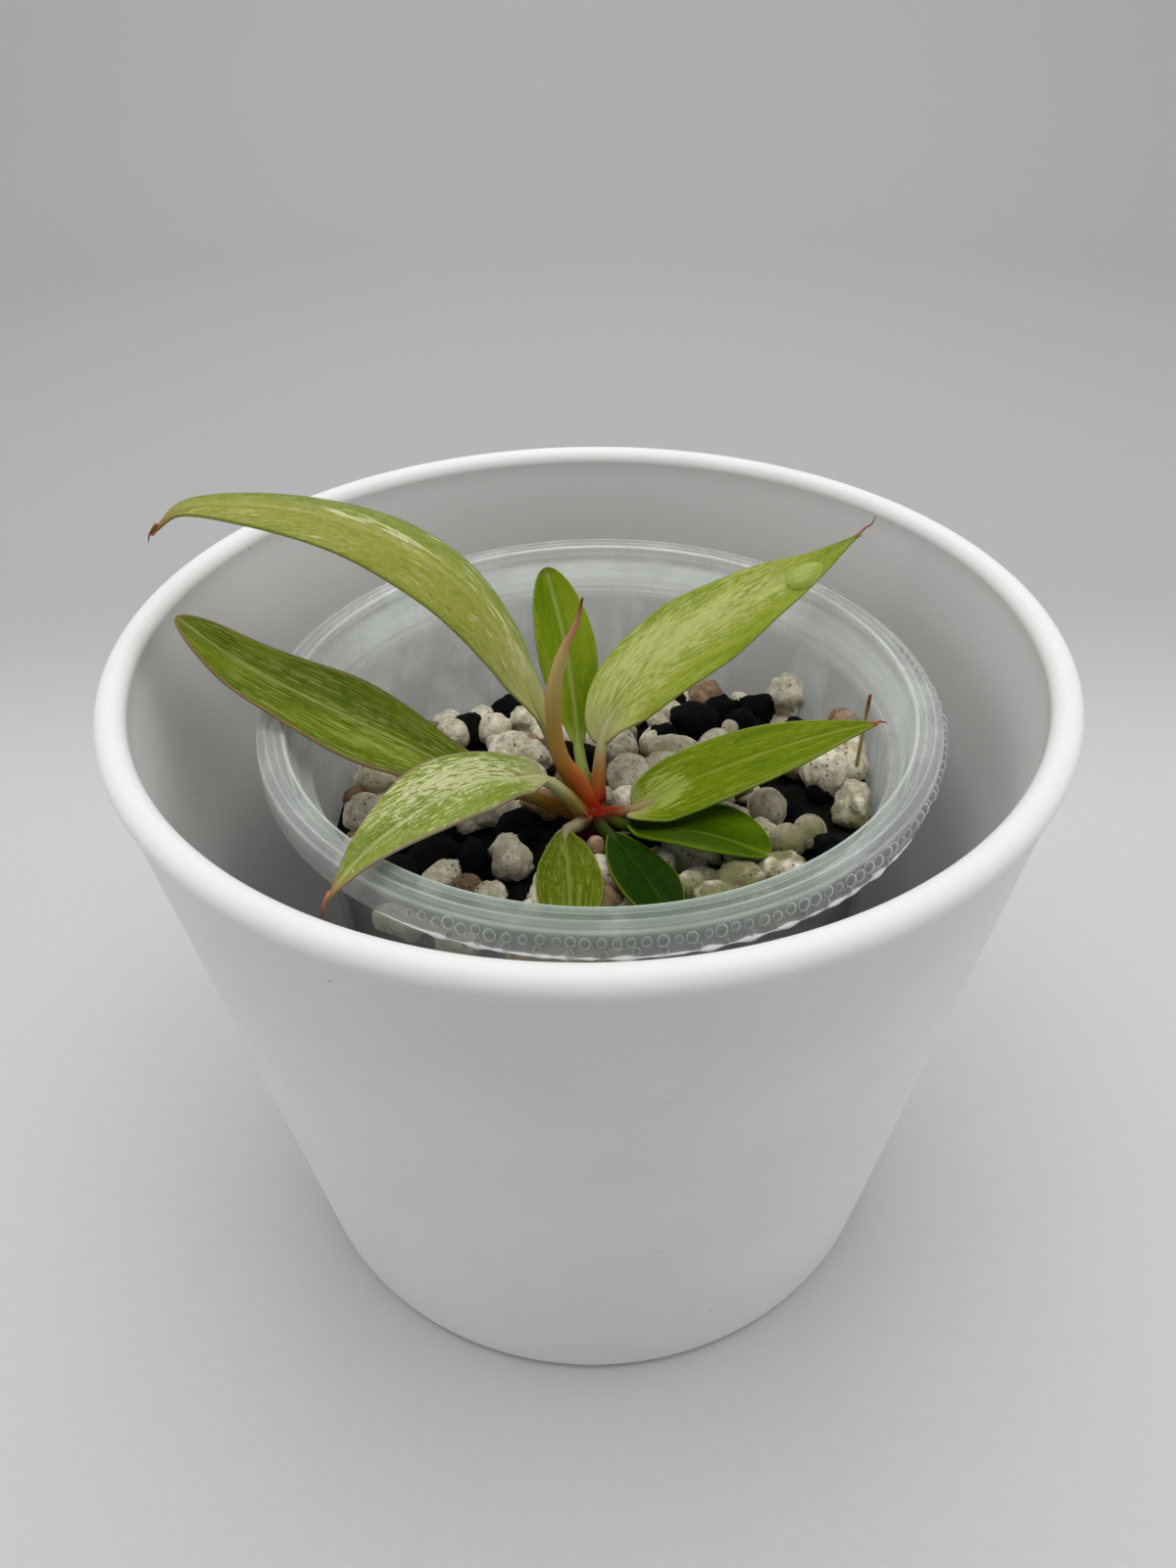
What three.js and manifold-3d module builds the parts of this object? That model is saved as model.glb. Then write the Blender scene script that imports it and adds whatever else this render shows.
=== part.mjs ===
// Potted strawberry caramel philodendron: a young plant in a clear round tub of pumice
// and black grit, which stands inside a white tapered pot.
// Millimetres, +Z up. The origin is the middle of the pot's foot, on the surface it stands on.
// The camera side of the reference photograph is -Y.
import * as THREE from 'three';
import { mergeVertices } from 'three/addons/utils/BufferGeometryUtils.js';
import Module from 'manifold-3d';

const wasm = await Module();
wasm.setup();

// Clearance between pieces that rest on or in each other
const GAP = 0.3;

// White pot: straight tapered wall, round lip, shallow recess inside the foot ring
const POT = {
  lipRadius: 80,
  height: 129,
  lipBead: 2.46,
  lipOverhang: 1.0,
  footRadius: 63.4,
  footFillet: 3.9,
  wall: 4.4,
  floor: 5,
  recessRadius: 52,
  recessDepth: 1.2,
  sides: 64,
};

// Clear tub: tapered wall, stacking step, flat ledge and a short skirt
const CUP = {
  centre: [1.9, -1.8],
  bottom: POT.floor + GAP,
  top: 118,
  baseRadius: 46,
  baseFillet: 1.5,
  wall: 0.8,
  stepInner: 50.5,
  stepOuter: 52.5,
  stepHeight: 109.3,
  lipInner: 53.6,
  skirtRadius: 58.5,
  skirtBottom: 112.3,
  shoulder: 1.8,
  sides: 56,
};

// Growing mix: a packed bed with rounded grains standing out of its top
const MIX = {
  centreTop: 97,
  slopeX: 0.07,
  slopeY: -0.1,
  bulgeX: 0.0008,
  dipY: -0.0025,
  bedBelowTops: 4,
  rings: 4,
  sectors: 28,
  grains: 90,
  berth: 1.6,
  smallest: 3.7,
  largest: 5.6,
  seed: 20,
  tolerance: 0.15,
};

// Short stem, sunk in a plain hole in the mix
const STEM = {
  centre: [0.4, -9.2],
  bottom: 74,
  shoulder: 95.5,
  top: 98.4,
  radius: 3.1,
  topRadius: 1.4,
  hole: 4.2,
  tolerance: 0.03,
  sides: 14,
};

// Dry stalk left standing beside the clear wall
const STALK = {
  foot: [48.2, -3, 84],
  tip: [49.4, -1.2, 115.5],
  radius: 0.55,
  hole: 1.1,
  sides: 8,
};

// Leaf sweep: blade thickness, petiole size, rings along the blade and points across its face
const LEAF = {
  thickness: 0.7,
  petioleFoot: 1.5,
  petioleEnd: 1.0,
  petioleRings: 4,
  bladeRings: 15,
  across: 5,
  blendLength: 0.14,
  tipHalfWidth: 0.45,
};

// Leaves, in the order in which they are named. The midrib runs from the stem to the tip; its
// first part is the petiole, as far as the fraction "petiole" of its length. "face" is where
// the upper side looks, from base to tip. The other values shape the blade: half width, where
// it is widest, how full base and tip are, how each half folds (degrees) and curls across, how
// wide each half is beside the other, and how deep and how many the waves of the margin are.
const LEAVES = [
  {
    name: 'leaf_1_arching_left', color: 0x9aa83f,
    midrib: [[-1.2, -7.6, 97], [-5, -5, 104.5], [-8.7, -2.8, 114.5], [-13.5, 0, 126], [-21, 3, 136],
      [-31, 5, 143], [-42, 5.5, 147.6], [-54, 5, 150.2], [-65, 4.5, 150.2], [-71, 4, 145.5]],
    face: [[0.95, -0.3, 0.3], [0.6, -0.2, 0.8], [0.3, -0.05, 1], [0, -0.05, 1]],
    petiole: 0.16, halfWidth: 7.7, widest: 0.45, baseFull: 0.7, tipFull: 0.95,
    fold: [-13, -2], curl: [-0.1, -0.1], side: [1, 1.05], wave: 0.03, waves: 2,
  },
  {
    name: 'leaf_2_broad_left', color: 0x6f8f2a,
    midrib: [[-1.6, -10, 96.5], [-9, -11, 101], [-18, -10.5, 105], [-26, -9, 108.5],
      [-34, -7.5, 112.5], [-43, -6, 117], [-51, -4.5, 121], [-59, -3.5, 126], [-67.5, -3, 134]],
    face: [[0.2, -0.1, 1], [0.3, -0.15, 1], [0.4, -0.1, 1]],
    petiole: 0.24, halfWidth: 9.5, widest: 0.45, baseFull: 0.7, tipFull: 0.55,
    fold: [6, 2], curl: [0, 0], side: [1, 0.95], wave: 0.05, waves: 2,
  },
  {
    name: 'leaf_3_cream_near_left', color: 0xc9cf97,
    midrib: [[-1, -10.8, 97], [-4.5, -12.5, 103.5], [-8, -14, 107.5], [-15.5, -20, 113],
      [-21.5, -28, 116.5], [-27, -38, 119.5], [-32, -48, 121.5], [-36, -56, 120.5]],
    face: [[0, -0.2, 1], [0.1, -0.2, 1], [0, -0.2, 1]],
    petiole: 0.2, halfWidth: 8.4, widest: 0.42, baseFull: 0.6, tipFull: 1.1,
    fold: [20, 32], curl: [-0.1, -0.2], side: [1, 0.84], wave: 0.03, waves: 2,
  },
  {
    name: 'leaf_4_upright_back', color: 0x5c8f2c,
    midrib: [[0.2, -7.4, 97], [-1.3, -2, 101], [-2.2, 4, 105.5], [-3, 9, 111.5], [-4.2, 14, 118.5],
      [-5.8, 18, 124], [-7.4, 21, 129.5]],
    face: [[0.1, -0.7, 0.7], [0.2, -0.7, 0.7], [0.3, -0.7, 0.7]],
    petiole: 0.22, halfWidth: 5.6, widest: 0.56, baseFull: 0.8, tipFull: 0.5,
    fold: [8, 8], curl: [0, 0], side: [1, 1], wave: 0.04, waves: 2,
  },
  {
    name: 'leaf_5_pale_right', color: 0xb4c070,
    midrib: [[1.5, -7.6, 97.5], [2, -3, 104], [3.5, 1, 109], [8.5, 6, 114], [17, 12, 118],
      [29.5, 19, 123], [42, 25, 127], [51, 28, 132]],
    face: [[-0.3, -0.7, 0.6], [-0.3, -0.5, 0.8], [-0.2, -0.45, 0.85]],
    petiole: 0.14, halfWidth: 8.5, widest: 0.4, baseFull: 0.62, tipFull: 1.1,
    fold: [4, 4], curl: [0, 0], side: [1, 1], wave: 0.05, waves: 3,
  },
  {
    name: 'leaf_6_long_right', color: 0x86a530,
    midrib: [[2.2, -10, 96.5], [6, -12, 98.6], [9, -13.5, 101], [15, -13, 105], [24, -12, 108.9],
      [34, -10, 111.4], [42, -8, 112.6], [50, -6, 113]],
    face: [[-0.2, -0.35, 0.9], [0, -0.3, 0.95], [0, -0.3, 0.95]],
    petiole: 0.14, halfWidth: 7.3, widest: 0.34, baseFull: 0.45, tipFull: 0.85,
    fold: [0, 14], curl: [0, 0], side: [0.88, 1], wave: 0.04, waves: 2,
  },
  {
    name: 'leaf_7_small_right', color: 0x4f8524,
    midrib: [[2.2, -11, 96.4], [8, -16, 98.4], [15, -19, 100.6], [22.5, -23, 101.8], [29.5, -28, 102.2]],
    face: [[0, 0, 1], [0, -0.1, 1], [0, -0.1, 1]],
    petiole: 0.2, halfWidth: 7.6, widest: 0.52, baseFull: 0.6, tipFull: 0.55,
    fold: [3, 26], curl: [0, 0], side: [0.95, 1], wave: 0.02, waves: 2,
  },
  {
    name: 'leaf_8_oval_front', color: 0x7da035,
    midrib: [[-0.3, -11.3, 96.4], [-2.6, -15, 98], [-4.3, -18, 99], [-3.8, -26, 99.8],
      [-3.4, -34, 99.6], [-3.2, -43, 98]],
    face: [[0, 0, 1], [0, 0, 1]],
    petiole: 0.2, halfWidth: 5.5, widest: 0.58, baseFull: 0.6, tipFull: 0.6,
    fold: [6, 6], curl: [0, 0], side: [1, 1], wave: 0.02, waves: 2,
  },
  {
    name: 'leaf_9_dark_front', color: 0x356b1c,
    midrib: [[1.2, -11.3, 96.3], [2.6, -16, 97.8], [4.8, -20, 98.8], [7.8, -27, 99.5],
      [10.5, -34, 100], [13, -42, 99]],
    face: [[0.1, 0, 1], [0.1, 0, 1]],
    petiole: 0.2, halfWidth: 5.6, widest: 0.56, baseFull: 0.6, tipFull: 0.7,
    fold: [6, 6], curl: [0, 0], side: [0.88, 1], wave: 0.02, waves: 2,
  },
];

// Rolled young leaf that rises from the top of the stem
const SPEAR = {
  midrib: [[0.3, -9.4, 100.7], [-2, -9.9, 104], [-4.7, -10.3, 109.5], [-5.8, -10.3, 115.8],
    [-5.6, -10, 123.7], [-3.8, -9, 130.5], [-1.8, -8, 134.5], [-0.7, -7, 138.8]],
  radii: [1.7, 1.6, 1.6, 1.6, 1.75, 1.5, 0.9, 0.35],
  flatten: 0.72,
  rings: 18,
  sides: 10,
};

const COLORS = {
  pot: 0xf2f2f0,
  cup: 0xdfe6e2,
  mix: 0xb9b2a3,
  stem: 0xc8552e,
  spear: 0xc98f5e,
  stalk: 0xb09a52,
};

const DEG = Math.PI / 180;
const smooth = (x) => x * x * (3 - 2 * x);
const clamp01 = (x) => Math.min(1, Math.max(0, x));

// Seeded draw of numbers from 0 to 1
function seeded(seed) {
  let state = seed;
  return () => {
    state = (state * 16807) % 2147483647;
    return state / 2147483647;
  };
}

// Closed ring of rotation about a vertical axis, from [radius, height] pairs
function turned(profile, sides, [x, y] = [0, 0]) {
  const points = profile.map(([r, z]) => new THREE.Vector2(r, z));
  const geometry = new THREE.LatheGeometry(points, sides);
  geometry.rotateX(Math.PI / 2);
  geometry.translate(x, y, 0);
  return geometry;
}

// Points on an arc in a profile, angles in degrees from the outward direction
function arc(cx, cz, radius, from, to, steps) {
  return Array.from({ length: steps + 1 }, (_, i) => {
    const angle = (from + ((to - from) * i) / steps) * DEG;
    return [cx + radius * Math.cos(angle), cz + radius * Math.sin(angle)];
  });
}

function potGeometry() {
  const p = POT;
  const lipCentre = p.lipRadius - p.lipBead;
  const lipTop = p.height - p.lipBead;
  const wallTop = p.lipRadius - p.lipOverhang;
  const neck = lipTop - p.lipBead;
  const insideTop = wallTop - p.wall;
  const insideFoot = p.footRadius - p.wall;
  const profile = [
    [0, p.recessDepth],
    [p.recessRadius, p.recessDepth],
    [p.recessRadius + p.recessDepth, 0],
    ...arc(p.footRadius - p.footFillet, p.footFillet, p.footFillet, -90, -6, 3),
    [wallTop, neck],
    ...arc(lipCentre, lipTop, p.lipBead, -30, 190, 7),
    [insideTop, neck - 1],
    ...arc(insideFoot - p.footFillet, p.floor + p.footFillet, p.footFillet, -6, -90, 3),
    [0, p.floor],
  ];
  return turned(profile, p.sides);
}

function cupGeometry() {
  const c = CUP;
  const w = c.wall;
  const profile = [
    [0, c.bottom],
    [c.baseRadius - c.baseFillet, c.bottom],
    [c.baseRadius, c.bottom + c.baseFillet],
    [c.stepInner + w, c.stepHeight - w],
    [c.stepOuter + w, c.stepHeight - w / 2],
    [c.lipInner + w, c.top - c.shoulder - w],
    [c.skirtRadius - w, c.top - c.shoulder - 1.6 * w],
    [c.skirtRadius - w, c.skirtBottom],
    [c.skirtRadius, c.skirtBottom],
    ...arc(c.skirtRadius - c.shoulder, c.top - c.shoulder, c.shoulder, 0, 90, 3),
    [c.lipInner + w / 2, c.top],
    [c.lipInner, c.top - w / 2],
    [c.stepOuter, c.stepHeight + w / 2],
    [c.stepInner, c.stepHeight],
    [c.baseRadius - w, c.bottom + c.baseFillet + w],
    [c.baseRadius - c.baseFillet - w, c.bottom + w],
    [0, c.bottom + w],
  ];
  return turned(profile, c.sides, c.centre);
}

// Radius of the clear wall's inside at a height
function cupInside(z) {
  const rise = (z - CUP.bottom) / (CUP.stepHeight - CUP.bottom);
  return CUP.baseRadius - CUP.wall + (CUP.stepInner - CUP.baseRadius + CUP.wall) * rise;
}

// Height of the grains' tops above the foot of the pot
function mixTop(x, y) {
  const m = MIX;
  return m.centreTop + m.slopeX * x + m.slopeY * y + m.bulgeX * x * x
    + m.dipY * Math.max(y, 0) * Math.max(y, 0);
}

// A closed sweep of rings that all have the same number of points, capped at both ends
function sweptRings(rings) {
  const n = rings[0].length;
  const middle = (ring) => ring.reduce((s, p) => s.add(p), new THREE.Vector3()).divideScalar(n);
  const positions = rings.flat().flatMap((p) => [p.x, p.y, p.z]);
  const first = rings.length * n;
  for (const ring of [rings[0], rings[rings.length - 1]]) {
    const m = middle(ring);
    positions.push(m.x, m.y, m.z);
  }
  const index = [];
  for (let r = 0; r < rings.length - 1; r += 1) {
    for (let k = 0; k < n; k += 1) {
      const a = r * n + k;
      const b = r * n + ((k + 1) % n);
      index.push(a, b, b + n, a, b + n, a + n);
    }
  }
  const last = (rings.length - 1) * n;
  for (let k = 0; k < n; k += 1) {
    const next = (k + 1) % n;
    index.push(first, next, k, first + 1, last + k, last + next);
  }
  const geometry = new THREE.BufferGeometry();
  geometry.setAttribute('position', new THREE.Float32BufferAttribute(positions, 3));
  geometry.setIndex(index);
  return geometry;
}

const toVectors = (points) => points.map((p) => new THREE.Vector3(...p));

function midribCurve(points) {
  return new THREE.CatmullRomCurve3(toVectors(points), false, 'catmullrom', 0.5);
}

// Direction along the midrib, to the side, and out of the upper face
function frameAt(curve, faces, u) {
  const ahead = curve.getPointAt(Math.min(u + 0.01, 1));
  const tangent = ahead.sub(curve.getPointAt(Math.max(u - 0.01, 0))).normalize();
  const spans = faces.length - 1;
  const index = Math.min(Math.floor(u * spans), spans - 1);
  const [from, to] = toVectors([faces[index], faces[index + 1]]);
  const face = from.lerp(to, u * spans - index);
  const side = new THREE.Vector3().crossVectors(tangent, face).normalize();
  return { side, up: new THREE.Vector3().crossVectors(side, tangent) };
}

// Half width of a blade at a fraction of its length
function bladeHalfWidth(leaf, b) {
  const power = Math.log(0.5) / Math.log(leaf.widest);
  const swell = Math.sin(Math.PI * b ** power);
  return leaf.halfWidth * Math.max(swell, 0) ** (b < leaf.widest ? leaf.baseFull : leaf.tipFull);
}

// Place on the blade's cross-section: across and up, both as parts of the half width
function section(leaf, b, v) {
  const half = v > 0 ? 1 : 0;
  const a = Math.abs(v);
  const fold = leaf.fold[half] * DEG;
  const ripple = leaf.wave * Math.sin(2 * Math.PI * leaf.waves * b + 2.1 * half);
  return [
    Math.sign(v) * a * Math.cos(fold) * leaf.side[half],
    a * Math.sin(fold) * leaf.side[half] + (leaf.curl[half] + ripple) * a * a,
  ];
}

// One ring of the sweep: a round petiole that opens into the two faces of the blade
function leafRing(leaf, curve, u, petioleRadius, opened) {
  const { side, up } = frameAt(curve, leaf.face, u);
  const centre = curve.getPointAt(u);
  const b = clamp01((u - leaf.petiole) / (1 - leaf.petiole));
  const width = Math.max(bladeHalfWidth(leaf, b), LEAF.tipHalfWidth);
  const round = [];
  const open = [];
  const n = LEAF.across;
  for (const face of [1, -1]) {
    for (let i = 0; i < n; i += 1) {
      const k = face > 0 ? i : n - 1 - i;
      const v = -1 + (2 * k) / (n - 1);
      const angle = (1 - (k + 0.5) / n) * Math.PI * face;
      round.push([petioleRadius * Math.cos(angle), petioleRadius * Math.sin(angle)]);
      const [x, z] = section(leaf, b, v);
      const [x1, z1] = section(leaf, b, Math.min(v + 0.05, 1));
      const [x0, z0] = section(leaf, b, Math.max(v - 0.05, -1));
      const slope = Math.hypot(x1 - x0, z1 - z0);
      const offset = (face * LEAF.thickness) / 2;
      open.push([x * width - (offset * (z1 - z0)) / slope, z * width + (offset * (x1 - x0)) / slope]);
    }
  }
  return round.map(([rx, rz], i) => {
    const x = rx + (open[i][0] - rx) * opened;
    const z = rz + (open[i][1] - rz) * opened;
    return centre.clone().addScaledVector(side, x).addScaledVector(up, z);
  });
}

function bladeGeometry(leaf) {
  const curve = midribCurve(leaf.midrib);
  const start = leaf.petiole + GAP / curve.getLength();
  const rings = [];
  for (let i = 0; i <= LEAF.bladeRings; i += 1) {
    const b = closerAtEnds(i / LEAF.bladeRings);
    const u = start + (1 - start) * b;
    rings.push(leafRing(leaf, curve, u, LEAF.petioleEnd, smooth(clamp01(b / LEAF.blendLength))));
  }
  return sweptRings(rings);
}

// Rings lie closer together where the petiole opens into the blade and at the tip
function closerAtEnds(t) {
  return t - 0.09 * Math.sin(2 * Math.PI * t);
}

function petioleGeometry(leaf) {
  const curve = midribCurve(leaf.midrib);
  const rings = [];
  for (let i = 0; i <= LEAF.petioleRings; i += 1) {
    const t = i / LEAF.petioleRings;
    const radius = LEAF.petioleFoot + (LEAF.petioleEnd - LEAF.petioleFoot) * t;
    rings.push(leafRing(leaf, curve, leaf.petiole * t, radius, 0));
  }
  return sweptRings(rings);
}

function roundSweep(curve, radiusAt, rings, sides, flatten = 1) {
  const list = [];
  for (let i = 0; i <= rings; i += 1) {
    const t = i / rings;
    const { side, up } = frameAt(curve, [[0, -1, 0.3], [0, -1, 0.3]], t);
    const centre = curve.getPointAt(t);
    list.push(Array.from({ length: sides }, (_, k) => {
      const angle = -(k / sides) * 2 * Math.PI;
      return centre.clone()
        .addScaledVector(side, radiusAt(t) * Math.cos(angle))
        .addScaledVector(up, radiusAt(t) * flatten * Math.sin(angle));
    }));
  }
  return sweptRings(list);
}

function spearGeometry() {
  const { radii } = SPEAR;
  const radiusAt = (t) => {
    const f = t * (radii.length - 1);
    const i = Math.min(Math.floor(f), radii.length - 2);
    return radii[i] + (radii[i + 1] - radii[i]) * smooth(f - i);
  };
  return roundSweep(midribCurve(SPEAR.midrib), radiusAt, SPEAR.rings, SPEAR.sides, SPEAR.flatten);
}

function stalkGeometry() {
  const curve = new THREE.LineCurve3(...toVectors([STALK.foot, STALK.tip]));
  return roundSweep(curve, () => STALK.radius, 2, STALK.sides);
}

// Solid with shared corners merged, for cutting and joining
function solidOf(geometry) {
  const bare = geometry.clone();
  bare.deleteAttribute('normal');
  bare.deleteAttribute('uv');
  const merged = mergeVertices(bare, 1e-4);
  return new wasm.Manifold(new wasm.Mesh({
    numProp: 3,
    vertProperties: new Float32Array(merged.attributes.position.array),
    triVerts: new Uint32Array(merged.index.array),
  }));
}

function geometryOf(solid) {
  const mesh = solid.getMesh();
  const geometry = new THREE.BufferGeometry();
  geometry.setAttribute('position', new THREE.BufferAttribute(mesh.vertProperties, 3));
  geometry.setIndex(new THREE.BufferAttribute(mesh.triVerts, 1));
  return geometry;
}

// The body without the closed hollows that are left where grains touch each other
function outerShell(solid) {
  return solid.decompose().reduce((most, shell) => (shell.volume() > most.volume() ? shell : most));
}

// Stem with the petioles that grow out of it
function crownGeometry() {
  const s = STEM;
  const stem = turned([
    [0, s.bottom],
    [s.radius * 0.6, s.bottom],
    [s.radius, s.bottom + 4],
    [s.radius, s.shoulder],
    [(s.radius + s.topRadius) / 2, s.top - 1.4],
    [s.topRadius, s.top],
    [0, s.top],
  ], s.sides, s.centre);
  const petioles = LEAVES.map((leaf) => solidOf(petioleGeometry(leaf)));
  return geometryOf(wasm.Manifold.union([solidOf(stem), ...petioles]).simplify(STEM.tolerance));
}

// The packed bed: a disc whose top follows the slope of the grains, filling the clear tub
function bedGeometry() {
  const rings = [];
  const ring = (radius, height) => Array.from({ length: MIX.sectors }, (_, k) => {
    const angle = (k / MIX.sectors) * 2 * Math.PI;
    const x = CUP.centre[0] + radius * Math.cos(angle);
    const y = CUP.centre[1] + radius * Math.sin(angle);
    return new THREE.Vector3(x, y, height === null ? mixTop(x, y) - MIX.bedBelowTops : height);
  });
  const floor = CUP.bottom + CUP.wall + GAP;
  const lowest = floor + CUP.baseFillet;
  rings.push(ring(cupInside(floor) - CUP.baseFillet - 2 * GAP, floor));
  rings.push(ring(cupInside(lowest) - 2 * GAP, lowest));
  const brim = cupInside(MIX.centreTop - MIX.bedBelowTops) - 2 * GAP;
  for (let i = 0; i < MIX.rings; i += 1) {
    rings.push(ring(brim * (1 - i / MIX.rings), null));
  }
  return sweptRings(rings);
}

// Lowest height of the other pieces above a grain, so that the grain can be sunk clear of it
function roomAbove(points, x, y, reach) {
  return points.reduce((low, p) => (
    Math.hypot(p.x - x, p.y - y) < reach && p.z < low ? p.z : low), Infinity);
}

function grainGeometry(random, radius) {
  const grain = new THREE.DodecahedronGeometry(radius);
  grain.scale(0.9 + 0.4 * random(), 0.85 + 0.3 * random(), 0.8 + 0.3 * random());
  grain.rotateZ(random() * 2 * Math.PI);
  grain.rotateX((random() - 0.5) * 0.9);
  grain.computeBoundingBox();
  return grain;
}

// Bed and grains in one body, with plain holes for the stem and the dry stalk
function mixGeometry(neighbours) {
  const random = seeded(MIX.seed);
  const golden = Math.PI * (3 - Math.sqrt(5));
  let mix = solidOf(bedGeometry());
  const grains = [];
  for (let i = 0; i < MIX.grains; i += 1) {
    const radius = MIX.smallest + (MIX.largest - MIX.smallest) * random() ** 1.3;
    const reach = (cupInside(MIX.centreTop) - 2) * Math.sqrt((i + 0.5) / MIX.grains);
    const angle = i * golden + (random() - 0.5) * 0.25;
    const x = CUP.centre[0] + reach * Math.cos(angle);
    const y = CUP.centre[1] + reach * Math.sin(angle);
    const lift = (random() - 0.4) * 2.2;
    const grain = grainGeometry(random, radius);
    const room = roomAbove(neighbours, x, y, grain.boundingBox.max.x + MIX.berth) - MIX.berth / 2;
    grain.translate(x, y, Math.min(mixTop(x, y) + lift, room) - grain.boundingBox.max.z);
    grains.push(solidOf(grain));
  }
  mix = wasm.Manifold.union([mix, ...grains]);
  const low = CUP.bottom + CUP.wall + GAP;
  const high = CUP.stepHeight;
  const bore = turned([
    [0, low], [cupInside(low) - CUP.baseFillet - GAP, low],
    [cupInside(low + CUP.baseFillet) - GAP, low + CUP.baseFillet], [cupInside(high) - GAP, high], [0, high],
  ], CUP.sides, CUP.centre);
  const stemHole = turned([
    [0, STEM.bottom - 1], [STEM.hole, STEM.bottom - 1], [STEM.hole, high + 5], [0, high + 5],
  ], STEM.sides, STEM.centre);
  const line = new THREE.LineCurve3(...toVectors([STALK.foot, STALK.tip]));
  const stalkHole = roundSweep(line, () => STALK.hole, 1, STALK.sides);
  stalkHole.translate(0, 0, -1);
  mix = mix.intersect(solidOf(bore)).subtract(solidOf(stemHole)).subtract(solidOf(stalkHole));
  return geometryOf(outerShell(mix.simplify(MIX.tolerance)));
}

function cornersOf(geometry) {
  const { position } = geometry.attributes;
  const corner = (_, i) => new THREE.Vector3().fromBufferAttribute(position, i);
  return Array.from({ length: position.count }, corner);
}

function named(name, geometry, color, roughness = 0.5) {
  const mesh = new THREE.Mesh(geometry, new THREE.MeshStandardMaterial({ color, roughness, metalness: 0 }));
  mesh.name = name;
  return mesh;
}

const group = new THREE.Group();
const blades = LEAVES.map((leaf) => ({ leaf, geometry: bladeGeometry(leaf) }));
const crown = crownGeometry();
const neighbours = [crown, ...blades.map((blade) => blade.geometry)].flatMap(cornersOf);

group.add(named('outer_pot', potGeometry(), COLORS.pot, 0.45));
group.add(named('inner_cup', cupGeometry(), COLORS.cup, 0.2));
group.add(named('growing_mix', mixGeometry(neighbours), COLORS.mix, 0.9));
group.add(named('crown_and_petioles', crown, COLORS.stem));
group.add(named('new_leaf_spear', spearGeometry(), COLORS.spear));
group.add(named('dry_stalk', stalkGeometry(), COLORS.stalk, 0.8));
for (const { leaf, geometry } of blades) {
  group.add(named(leaf.name, geometry, leaf.color, 0.4));
}

export default group;
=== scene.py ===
"""Potted strawberry caramel philodendron: surfaces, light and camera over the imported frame."""
import logging
import math
from collections.abc import Callable, Iterable, Sequence
from dataclasses import dataclass, field
from enum import Enum

import bmesh
import bpy
from mathutils import Matrix, Vector, noise


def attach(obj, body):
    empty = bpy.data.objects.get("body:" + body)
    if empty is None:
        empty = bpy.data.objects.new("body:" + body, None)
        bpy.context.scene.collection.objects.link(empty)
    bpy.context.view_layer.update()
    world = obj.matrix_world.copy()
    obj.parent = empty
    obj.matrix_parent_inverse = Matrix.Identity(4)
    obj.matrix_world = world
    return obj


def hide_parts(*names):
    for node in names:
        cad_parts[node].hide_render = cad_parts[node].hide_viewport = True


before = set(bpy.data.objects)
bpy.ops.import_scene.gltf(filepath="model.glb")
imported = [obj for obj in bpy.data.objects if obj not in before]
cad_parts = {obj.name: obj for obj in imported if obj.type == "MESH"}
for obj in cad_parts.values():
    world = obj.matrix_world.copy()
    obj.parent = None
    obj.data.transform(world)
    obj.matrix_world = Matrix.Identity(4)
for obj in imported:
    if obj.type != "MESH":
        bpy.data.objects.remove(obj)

log = logging.getLogger("philodendron")

MM = 0.001
ROOT = "root"
GOLDEN_TURN = math.pi * (3 - math.sqrt(5))
Colour = tuple[float, float, float]
Point = tuple[float, float, float]


def tint(red: int, green: int, blue: int) -> Colour:
    """Linear colour from a display colour.

    Args:
        red: Red, 0 to 255.
        green: Green, 0 to 255.
        blue: Blue, 0 to 255.

    Returns:
        The same colour in linear light.
    """
    def linear(value: int) -> float:
        """Linear value of one display channel."""
        part = value / 255
        return part / 12.92 if part <= 0.04045 else ((part + 0.055) / 1.055) ** 2.4

    return linear(red), linear(green), linear(blue)


def dim(colour: Colour, share: float) -> Colour:
    """Colour with its light scaled by a share."""
    return tuple(c * share for c in colour)


def smooth(value: float) -> float:
    """Ease in and out over 0 to 1, held flat outside."""
    part = min(1.0, max(0.0, value))
    return part * part * (3 - 2 * part)


class Draw:
    """Seeded draw of numbers from 0 to 1, the same as the one that laid the solids out."""

    def __init__(self, seed: int) -> None:
        """Start the draw.

        Args:
            seed: Where the draw starts.
        """
        self.state = seed

    def __call__(self) -> float:
        """Next number."""
        self.state = (self.state * 16807) % 2147483647
        return self.state / 2147483647


# Shader arithmetic


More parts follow.
